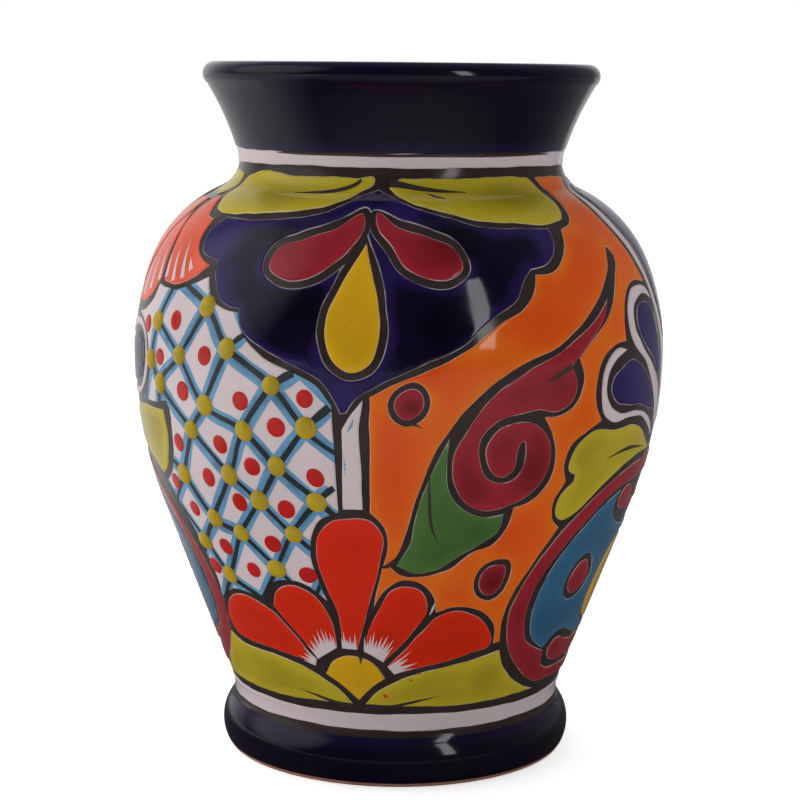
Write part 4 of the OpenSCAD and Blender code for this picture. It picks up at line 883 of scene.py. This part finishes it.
# Patches where the glaze pooled and fired deeper, or ran thin (below 0), a few of them painted sheen: middle, half
# width and half height, depth
PATCHES_AND_SHEEN = [((-38, 205.4), 24, 6, 0.9), ((34, 206), 30, 7, 1), ((28, 38), 14, 10, 0.8), ((-45, 36), 20, 8, 0.3),
           ((-20, 171), 18, 16, 1), ((8, 166), 18, 18, 1), ((12, 192), 20, 12, 0.9), ((-28, 192), 14, 8, 0.6),
           ((2.6, 140.2), 6, 6, 0.9), ((23.8, 77.2), 8, 8, 1), ((28, 118), 12, 16, 0.7), ((15, 112), 9, 10, 0.6),
           ((-1, 120), 9, 34, 0.8), ((30, 166), 26, 14, 0.7), ((6, 152), 16, 9, 0.8), ((26, 95), 14, 16, 0.6),
           ((17, 96), 14, 12, 0.5), ((16, 55), 22, 12, 0.6), ((55, 62), 18, 12, 0.5), ((44, 118), 12, 10, 0.4),
           ((-45, 191), 15, 13, -1.2), ((-40, 178), 10, 10, -0.7), ((35.5, 190), 9, 10, -1), ((0, 201), 12, 5, -0.8),
           # The first three of this row pale the cobalt drops at the right side as painted sheen, a reflection put into
           # the colour
           ((58, 142), 26, 22, -1.2), ((68, 160), 22, 30, -1.2), ((76, 195), 22, 34, -1.2), ((-11, 143), 8, 7, -0.7),
           ((20, 158), 20, 8, -0.6), ((12, 78), 12, 8, -0.6)]
# Thin dark brush lines inside the leaves: points, then the widths at them
VEINS = [
    ([(-12.6, 211), (-14, 209.6), (-18, 207.9), (-24, 206.8), (-34, 206.3)], (1.2, 1.5, 1.4, 1, 0.1)),
    ([(-3.6, 210.2), (1, 209.4), (7, 208.3), (13, 207.6), (20.5, 207.2)], (2.6, 2, 1.5, 1, 0.2)),
    ([(8, 206.8), (10, 206.1), (13.4, 205.3)], (0.2, 0.8, 0.1)),
    ([(49.4, 117.2), (58, 119), (67.6, 117.4)], (0.1, 1.5, 0.1)),
    ([(-12.5, 28.8), (-16, 29.2), (-20, 30), (-25, 31.5), (-31, 33.2)], (1.2, 1.4, 1.3, 1, 0.1)),
    ([(-10, 28.8), (-5, 28.9), (0, 29.6), (6, 31.3), (13.5, 33.2)], (1.2, 1.3, 1.2, 1, 0.1)),
    ([(6.3, 119), (6.6, 108), (7.3, 99), (9.2, 92.4)], (0.1, 1, 1, 0.1)),
    ([(36.4, 151.3), (33, 148.5), (30.3, 146.6)], (1.6, 1.4, 0.2)),
    ([(-10, 49.6), (-9.9, 48), (-9.95, 45.8)], (1.6, 1.2, 0.1)),
    ([(-0.4, 86.2), (-2.2, 84.2), (-3.6, 83.6)], (1.8, 1.5, 0.3)),
    ([(0.8, 135.2), (2.8, 134.5), (4.8, 133)], (0.6, 0.9, 0.2)),
]


# Operators

class VASE_OT_clay(Operator):
    """Turn the clay body"""
    bl_idname = "vase.clay"
    bl_label = "Clay body"

    def execute(self, context):
        s, f, g = current_surface(), context.scene.vase_form, context.scene.vase_glaze
        outer, inner = -s.glaze_t, g.lining - f.wall
        lip_r = f.lip - s.glaze_t
        loop = s.rows(0, g.bare_foot, BARE_DEPTH, 0.5) + s.rows(g.bare_foot, s.lip_cross(outer, lip_r), outer)
        inside = s.rows(s.cone_top, s.lip_cross(inner, lip_r), inner)[::-1]
        loop += lip_arc(s.lip_c, lip_r, loop[-1] - s.lip_c, inside[0] - s.lip_c)
        loop += inside + floor_arc(s, f.floor_round + g.lining)
        loop += [Vector((0, f.floor_z - g.lining)), Vector((0, f.recess)), Vector((f.ring_in, f.recess)),
                 Vector((f.ring_in, RING_BEVEL)), Vector((f.ring_in + RING_BEVEL, 0))]
        turned(loop, "clay_body", "bare_clay")
        return {"FINISHED"}


def lip_arc(centre, radius, start, end):
    """Points over the top of the lip between two directions."""
    a, b = math.atan2(start.y, start.x), math.atan2(end.y, end.x) % (2 * math.pi)
    angles = [a + (b - a) * k / LIP_STEPS for k in range(1, LIP_STEPS)]
    return [centre + radius * Vector((math.cos(angle), math.sin(angle))) for angle in angles]


def floor_arc(s, radius):
    """Points of the corner between wall and floor inside."""
    angles = [-s.lean + (-math.pi / 2 + s.lean) * k / CORNER_STEPS for k in range(CORNER_STEPS + 1)]
    return [s.floor_c + radius * Vector((math.cos(a), math.sin(a))) for a in angles]


class VASE_OT_bands(Operator):
    """Turn the lining, the rim and foot glaze, the dark coat and the white stripes"""
    bl_idname = "vase.bands"
    bl_label = "Turned glaze"

    def execute(self, context):
        s, f, g = current_surface(), context.scene.vase_form, context.scene.vase_glaze
        deep, back = -f.wall, g.lining - f.wall
        top = s.lip_cross(deep, f.lip)
        loop = s.rows(s.cone_top, top, deep)[::-1] + floor_arc(s, f.floor_round) + [Vector((0, f.floor_z))]
        loop += [Vector((0, f.floor_z - g.lining))] + floor_arc(s, f.floor_round + g.lining)[::-1]
        loop += s.rows(s.cone_top, s.lip_cross(back, f.lip), back)
        turned(loop, "inner_glaze", "rim_cobalt", lambda z: NO_EDGE)

        outer = s.rows(s.rim_z, s.lip_cross(0, f.lip), 0)
        under = s.rows(s.rim_z, s.lip_cross(-s.glaze_t, f.lip - s.glaze_t), -s.glaze_t)[::-1]
        inside = s.offset(top, deep) - s.lip_c
        loop = outer + lip_arc(s.lip_c, f.lip, outer[-1] - s.lip_c, inside) + [s.lip_c + inside]
        core = f.lip - s.glaze_t
        loop += lip_arc(s.lip_c, core, under[0] - s.lip_c, inside * core / f.lip)[::-1] + under
        turned(loop, "rim_glaze", "rim_cobalt",
               lambda z: min(max(z - s.rim_z, 0), abs(f.height - z) * LIP_FADE))

        loop = s.rows(g.bare_foot, s.foot_glaze_top, 0, 1.2)
        loop += s.rows(g.bare_foot, s.foot_glaze_top, -s.glaze_t, 1.2)[::-1]
        turned(loop, "foot_glaze", "rim_cobalt", lambda z: s.foot_glaze_top - z)

        loop = s.rows(s.foot_glaze_top, s.rim_z, -g.pool) + s.rows(s.foot_glaze_top, s.rim_z, -s.glaze_t)[::-1]
        turned(loop, "line_coat", "dark_line", lambda z: NO_EDGE)

        self.stripe(s, g, "neck_stripe", s.neck_stripe_z, s.neck_stripe_z + NECK_STRIPE_H)
        self.stripe(s, g, "foot_stripe", s.foot_stripe_z, s.foot_stripe_z + FOOT_STRIPE_H)
        return {"FINISHED"}

    def stripe(self, s, g, node, low, high):
        """White stripe with a rounded and slightly uneven edge."""
        edge = [(0, g.edge_h), *STRIPE_EDGE]
        rows = [s.offset(low, -g.pool)] + [s.offset(low + d, -g.under - fall) for d, fall in edge]
        rows += s.rows(low + STRIPE_FLAT, high - STRIPE_FLAT, -g.under, 0.8)
        rows += [s.offset(high - d, -g.under - fall) for d, fall in edge[::-1]] + [s.offset(high, -g.pool)]
        piece = turned(rows, node, "white_glaze", lambda z: min(z - low, high - z))
        middle = (low + high) / 2
        for vert in piece.data.vertices:
            angle = math.atan2(vert.co.x, -vert.co.y)
            wave = math.sin(5 * angle + low) + 0.7 * math.sin(13 * angle) + 0.5 * math.sin(29 * angle + 1)
            z = vert.co.z / MM
            z += STRIPE_SWAY * wave * (z - middle) / (high - middle)
            r = Vector((vert.co.x, vert.co.y)).length / MM + s.at(z)[0] - s.at(vert.co.z / MM)[0]
            vert.co = (r * math.sin(angle) * MM, -r * math.cos(angle) * MM, z * MM)


class VASE_OT_shield(Operator):
    """Lay the shoulder leaves and the shield with its petals and drop"""
    bl_idname = "vase.shield"
    bl_label = "Shield and shoulder"

    def execute(self, context):
        line = context.scene.vase_glaze.line
        inside = [PETAL_LEFT, PETAL_RIGHT, SHIELD_DROP]
        fields("shoulder_leaves", "lime_glaze", [LEAF_LEFT, LEAF_RIGHT, LEAF_SIDE])
        fields("shield_petals", "magenta_glaze", [PETAL_LEFT, PETAL_RIGHT])
        fields("shield_drops", "yellow_glaze", [SHIELD_DROP])
        fields("shield_grounds", "cobalt_glaze", [SHIELD], [grown(p, line) for p in inside])
        return {"FINISHED"}


class VASE_OT_lattice(Operator):
    """Lay the white strip and the lattice panel with its beads and dots"""
    bl_idname = "vase.lattice"
    bl_label = "Lattice"

    def execute(self, context):
        g = context.scene.vase_glaze
        fields("centre_strips", "white_glaze", [CENTRE_STRIP])
        panel = drawn(PANEL)
        white = raised(pool()._replace(top=-PANEL_DEPTH), [panel])
        finish_piece(collect([white]), "lattice_cells_fired", "white_glaze", "lattice_cells")
        size = len(CROSSINGS)
        across = [[(i, j) for j in range(size)] for i in range(size)]
        upright = [[(i, j) for i in range(start, size)] for j, start in enumerate(LINE_STARTS)]
        wash = [(self.hand_line(places, g.strip_w, sway=0.5, shift=(-0.25, -0.3)), depth)
                for ways, depth in zip((across, upright), STRIP_DEPTHS) for places in ways]
        lines = [(self.hand_line(places, g.strip_line, sway=0.35, drift=0.4), depth)
                 for ways, depth in zip((across, upright), LINE_DEPTHS) for places in ways]
        strokes("lattice_strips_fired", "sky_glaze", wash, [panel], "lattice_strips")
        strokes("lattice_lines", "lattice_ink", lines, [panel])
        strokes("lattice_smears", "sky_glaze", brushed(SMEARS, SMEAR_DEPTH))
        strokes("lattice_stubs", "lattice_ink", brushed(STUBS))
        beads = [CROSSINGS[i][j] for i, (a, b) in enumerate(BEAD_SPAN) for j in range(a, b + 1)]
        self.domes("lattice_beads", "bead_yellow", "bead_glaze", beads, g.bead_r, g.bead_h, -g.pool - BEAD_SUNK)
        self.domes("lattice_dots", "red", "dot_glaze", DOTS, g.dot_r, DOT_H, -g.under - DOT_SUNK)
        return {"FINISHED"}

    def hand_line(self, places, width, sway, shift=(0, 0), drift=0):
        """Outline of a brush line through crossings, its width and its place a little uneven."""
        points, widths = [], []
        for i, j in places:
            angle, z = CROSSINGS[i][j]
            wave = 3.7 * i + 5.1 * j
            points.append((angle + shift[0] + drift * math.sin(wave), z + shift[1] + drift * math.cos(1.7 * wave)))
            widths.append(width + sway * math.sin(2.3 * wave + 1))
        return uneven(stroke(points, widths), LATTICE_SWAY, width)

    def domes(self, node, slot, look, places, radius, height, depth):
        """Low round domes that stand on the surface."""
        surface = current_surface()
        bm = bmesh.new()
        layer = bm.verts.layers.float.new("rim")
        for k, (angle, z) in enumerate(places):
            spot = surface.place(angle * DEGREE, z, depth)
            way = (surface.place(angle * DEGREE, z, 1) - surface.place(angle * DEGREE, z, 0)).normalized()
            wide = radius * (1 + DOME_UNEVEN * math.sin(2.4 * k))
            tall = radius * (1 + DOME_UNEVEN * math.cos(1.9 * k))
            size = Matrix.Diagonal((wide * MM, tall * MM, height * MM, 1))
            lean = way.to_track_quat("Z", "Y").to_matrix().to_4x4()
            bmesh.ops.create_uvsphere(bm, u_segments=DOME_STEPS[0], v_segments=DOME_STEPS[1], radius=1,
                                      matrix=Matrix.Translation(spot) @ lean @ Matrix.Rotation(k, 4, "Z") @ size)
        for vert in bm.verts:
            vert[layer] = DOME_EDGE
        finish_piece(collect([bm]), f"{node}_fired", look, node)


class VASE_OT_orange(Operator):
    """Lay the orange panel with its scroll, leaf, dot and seed"""
    bl_idname = "vase.orange"
    bl_label = "Orange panel"

    def execute(self, context):
        line = context.scene.vase_glaze.line
        beds = [SCROLL_BED, grown(SCROLL_DOT, DOT_BED * line), grown(SCROLL_SEED, SEED_BED * line)]
        fields("orange_panels", "orange_glaze", [ORANGE], beds)
        fields("scrolls", "magenta_glaze", [SCROLL])
        fields("scroll_leaves", "green_glaze", [SCROLL_LEAF])
        fields("scroll_dots", "magenta_glaze", [SCROLL_DOT, SCROLL_SEED])
        return {"FINISHED"}


class VASE_OT_daisy(Operator):
    """Lay the daisy, its white flames and the base leaves"""
    bl_idname = "vase.daisy"
    bl_label = "Daisy and base leaves"

    def execute(self, context):
        fields("daisy_petals", "red_glaze", DAISY)
        fields("daisy_hearts", "yellow_glaze", [HEART])
        fields("base_leaves", "lime_glaze", [BASE_LEAF_LEFT, BASE_LEAF_RIGHT])
        flames = [(self.flames(*group), BRUSH_DEPTH) for group in FLAMES]
        strokes("daisy_flames", "white_glaze", flames + brushed([FLECK]))
        strokes("glaze_specks", "dot_glaze", brushed(SPECKS))
        return {"FINISHED"}

    def flames(self, start, end, tips):
        """Outline of a row of brushed flames between two ends of their base."""
        start, end, tips = flat(start), flat(end), [flat(tip) for tip in tips]
        corners = [start, tips[0]]
        for k, (a, b) in enumerate(zip(tips, tips[1:])):
            foot = start.lerp(end, (k + 1) / len(tips))
            corners += [foot.lerp((a + b) / 2, FLAME_NOTCH), b]
        return uneven(dense(corners + [end]), FLAME_SWAY)


class VASE_OT_medallion(Operator):
    """Lay the medallion on the side of the vase"""
    bl_idname = "vase.medallion"
    bl_label = "Medallion"

    def execute(self, context):
        line = context.scene.vase_glaze.line
        seeds = [SEED, mirrored(SEED, MEDALLION_AXIS)]
        core = whole(CORE_HALF, MEDALLION_AXIS)
        volutes = [p for v in (VOLUTE_TOP, VOLUTE_BASE) for p in (v, mirrored(v, MEDALLION_AXIS))]
        rim, hollow = (drawn(whole(half, MEDALLION_AXIS)) for half in (RIM_OUTER_HALF, RIM_INNER_HALF))
        parts = [raised(pool(), [rim], [hollow])] + [field(v) for v in volutes]
        finish_piece(collect(parts), "medallion_rims_fired", "magenta_glaze", "medallion_rims")
        fields("medallion_fields", "turquoise_glaze", [whole(FIELD_HALF, MEDALLION_AXIS)],
               [grown(p, line) for p in (*seeds, core)])
        fields("medallion_seeds", "magenta_glaze", seeds)
        fields("medallion_cores", "yellow_glaze", [core])
        return {"FINISHED"}


class VASE_OT_side(Operator):
    """Lay the side leaves and both flowers"""
    bl_idname = "vase.side"
    bl_label = "Side flowers"

    def execute(self, context):
        line = context.scene.vase_glaze.line
        fields("side_leaves", "lime_glaze", [SIDE_LEAF_LEFT, SIDE_LEAF_RIGHT])
        parts = [field(BORDER_LOW), field(BORDER_HIGH), field(BORDER_TOP, [grown(DROP_TOP, line)]),
                 field(BORDER_SIDE, [grown(DROP_SIDE, line)])]
        finish_piece(collect(parts), "flower_borders_fired", "white_glaze", "flower_borders")
        fields("flower_drops", "cobalt_glaze", [DROP_LOW, DROP_HIGH, DROP_TOP, DROP_SIDE])
        fields("flower_petals", "coral_glaze", FLOWER)
        strokes("flower_strokes", "white_glaze", brushed([(ends, FLOWER_STROKE_W) for ends in FLOWER_STROKES]))
        strokes("neck_line", "dark_line", brushed([NECK_LINE]))
        strokes("leaf_veins", "dark_line", brushed(VEINS))
        return {"FINISHED"}


# Camera's sensor in millimetres, floor's half width and tones, and the strip light: place, aim, width and length
SENSOR, FLOOR_HALF, FLOOR_TONES = 36, 6, (0.88, 0.92)
KEY_PLACE, KEY_AIM, KEY_SIZE = (0.56, -0.80, 0.54), (0.02, -0.05, 0.16), (0.14, 0.6)
# What the glaze mirrors: brightness of the room in front and beside the vase, of the window and of the wall behind
ROOM_FRONT, ROOM_BESIDE, WINDOW_BRIGHT, WALL_BRIGHT = 0.02, 0.16, 0.62, 0.55
# The same for the floor: near the vase in front, farther in front, beside and behind
FLOOR_NEAR, FLOOR_FRONT, FLOOR_BESIDE, FLOOR_BEHIND = 0.04, 0.22, 0.16, 0.5
# Ways to the brightest parts of the wall and of the floor behind the vase
WALL_WAY, FLOOR_WAY = (-0.26, 0.966, 0), (-0.8, 0.6, 0)


class VASE_OT_stage(Operator):
    """Set up the floor, the room, the strip light and the camera"""
    bl_idname = "vase.stage"
    bl_label = "Stage"

    def execute(self, context):
        scene = context.scene
        stage = scene.vase_stage
        bm = bmesh.new()
        bmesh.ops.create_grid(bm, x_segments=1, y_segments=1, size=FLOOR_HALF)
        mesh = bpy.data.meshes.new("floor")
        bm.to_mesh(mesh)
        bm.free()
        mesh.materials.append(self.pale_floor())
        floor = bpy.data.objects.new("floor", mesh)
        scene.collection.objects.link(floor)
        self.room(stage)
        self.strip_light(stage.key_power)
        camera = bpy.data.cameras.new("camera")
        camera.lens, camera.sensor_width, camera.shift_x = stage.lens, SENSOR, stage.shift
        holder = bpy.data.objects.new("camera", camera)
        holder.matrix_world = (Matrix.Translation(stage.eye) @ Matrix.Rotation(math.pi / 2 - stage.tilt, 4, "X")
                               @ Matrix.Rotation(stage.roll, 4, "Z"))
        scene.collection.objects.link(holder)
        scene.camera = holder
        scene.view_settings.view_transform = "Standard"
        return {"FINISHED"}

    def strip_light(self, power):
        light = bpy.data.lights.new("key_strip", "AREA")
        light.shape, light.energy = "RECTANGLE", power
        light.size, light.size_y = KEY_SIZE
        holder = bpy.data.objects.new("key_strip", light)
        way = Vector(KEY_AIM) - Vector(KEY_PLACE)
        holder.matrix_world = Matrix.Translation(KEY_PLACE) @ way.to_track_quat("-Z", "Y").to_matrix().to_4x4()
        bpy.context.scene.collection.objects.link(holder)

    def paths(self, tree):
        """1 for rays from the camera, and 1 for mirrored or refracted ones."""
        path = node(tree, "ShaderNodeLightPath").outputs
        return path["Is Camera Ray"], maths(tree, "MAXIMUM", path["Is Glossy Ray"], path["Is Transmission Ray"])

    def room(self, stage):
        """White wall and soft light mostly from the sides. Mirrored, the wall is pale behind and dark in front."""
        world = bpy.data.worlds.new("room")
        bpy.context.scene.world = world
        world.use_nodes = True
        tree = world.node_tree
        background = tree.nodes["Background"]
        way = node(tree, "ShaderNodeTexCoord").outputs["Generated"]
        parts = node(tree, "ShaderNodeSeparateXYZ", {"Vector": way}).outputs
        soft = maths(tree, "ADD", along(tree, way, stage.soft_way), stage.room)
        soft = maths(tree, "ADD", soft, remap(tree, parts["X"], -0.5, -0.95, 0, stage.window))
        wall = remap(tree, parts["Y"], -0.5, 0.6, ROOM_FRONT, ROOM_BESIDE)
        left, behind = along(tree, way, stage.left_way), along(tree, way, WALL_WAY)
        wall = maths(tree, "ADD", wall, remap(tree, left, 0.82, 0.93, 0, WINDOW_BRIGHT))
        wall = maths(tree, "ADD", wall, remap(tree, behind, 0.64, 0.966, 0, WALL_BRIGHT))
        seen, other = self.paths(tree)
        strength = node(tree, "ShaderNodeMix", {0: other, 2: soft, 3: wall}, data_type="FLOAT").outputs[0]
        strength = node(tree, "ShaderNodeMix", {0: seen, 2: strength, 3: 1.0}, data_type="FLOAT").outputs[0]
        tree.links.new(strength, background.inputs["Strength"])
        background.inputs["Color"].default_value = (1, 1, 1, 1)

    def pale_floor(self):
        """Pale floor that goes over into the wall and keeps the vase's shadow. Mirrored, it is pale behind the vase."""
        material = bpy.data.materials.new("pale_floor")
        material.use_nodes = True
        tree = material.node_tree
        shader = tree.nodes["Principled BSDF"]
        place = node(tree, "ShaderNodeTexCoord").outputs["Object"]
        y = node(tree, "ShaderNodeSeparateXYZ", {"Vector": place}).outputs["Y"]
        behind = along(tree, place, FLOOR_WAY)
        seen, other = self.paths(tree)
        tone = blended(tree, remap(tree, noise(tree, 3), 0.3, 0.7, 0, 1), *map(grey, FLOOR_TONES))
        dim = blended(tree, remap(tree, y, -0.35, -0.1, 1, 0), grey(FLOOR_NEAR), grey(FLOOR_FRONT))
        dim = blended(tree, remap(tree, y, -0.1, 0.5, 0, 1), dim, grey(FLOOR_BESIDE))
        dim = blended(tree, remap(tree, behind, 0.1, 0.3, 0, 1), dim, grey(FLOOR_BEHIND))
        tree.links.new(blended(tree, other, tone, dim), shader.inputs["Base Color"])
        shader.inputs["Roughness"].default_value = 0.9
        shader.inputs["Specular IOR Level"].default_value = 0.0
        shader.inputs["Emission Color"].default_value = (1, 1, 1, 1)
        tree.links.new(maths(tree, "MULTIPLY", seen, 0.5), shader.inputs["Emission Strength"])
        return material


class VASE_PT_panel(Panel):
    """Lists what the vase is made of"""
    bl_label = "Painted vase"
    bl_idname = "VASE_PT_panel"
    bl_space_type = "VIEW_3D"
    bl_region_type = "UI"
    bl_category = "Vase"

    def draw(self, context):
        for operator in OPERATORS:
            self.layout.operator(operator.bl_idname)
        for title, group in GROUPS.items():
            box = self.layout.box()
            for name in group.__annotations__:
                box.prop(getattr(context.scene, title), name)


GROUPS = {"vase_form": VaseForm, "vase_glaze": VaseGlaze, "vase_colours": VaseColours, "vase_stage": VaseStage}
OPERATORS = (VASE_OT_clay, VASE_OT_bands, VASE_OT_shield, VASE_OT_lattice, VASE_OT_orange, VASE_OT_daisy,
             VASE_OT_medallion, VASE_OT_side, VASE_OT_stage)


def register():
    for cls in (*GROUPS.values(), *OPERATORS, VASE_PT_panel):
        bpy.utils.register_class(cls)
    for name, group in GROUPS.items():
        setattr(bpy.types.Scene, name, PointerProperty(type=group))


def unregister():
    for name in GROUPS:
        delattr(bpy.types.Scene, name)
    for cls in (VASE_PT_panel, *OPERATORS[::-1], *GROUPS.values()):
        bpy.utils.unregister_class(cls)


def main():
    register()
    bpy.ops.vase.clay()
    bpy.ops.vase.bands()
    bpy.ops.vase.shield()
    bpy.ops.vase.lattice()
    bpy.ops.vase.orange()
    bpy.ops.vase.daisy()
    bpy.ops.vase.medallion()
    bpy.ops.vase.side()
    bpy.ops.vase.stage()


if __name__ == "__main__":
    main()
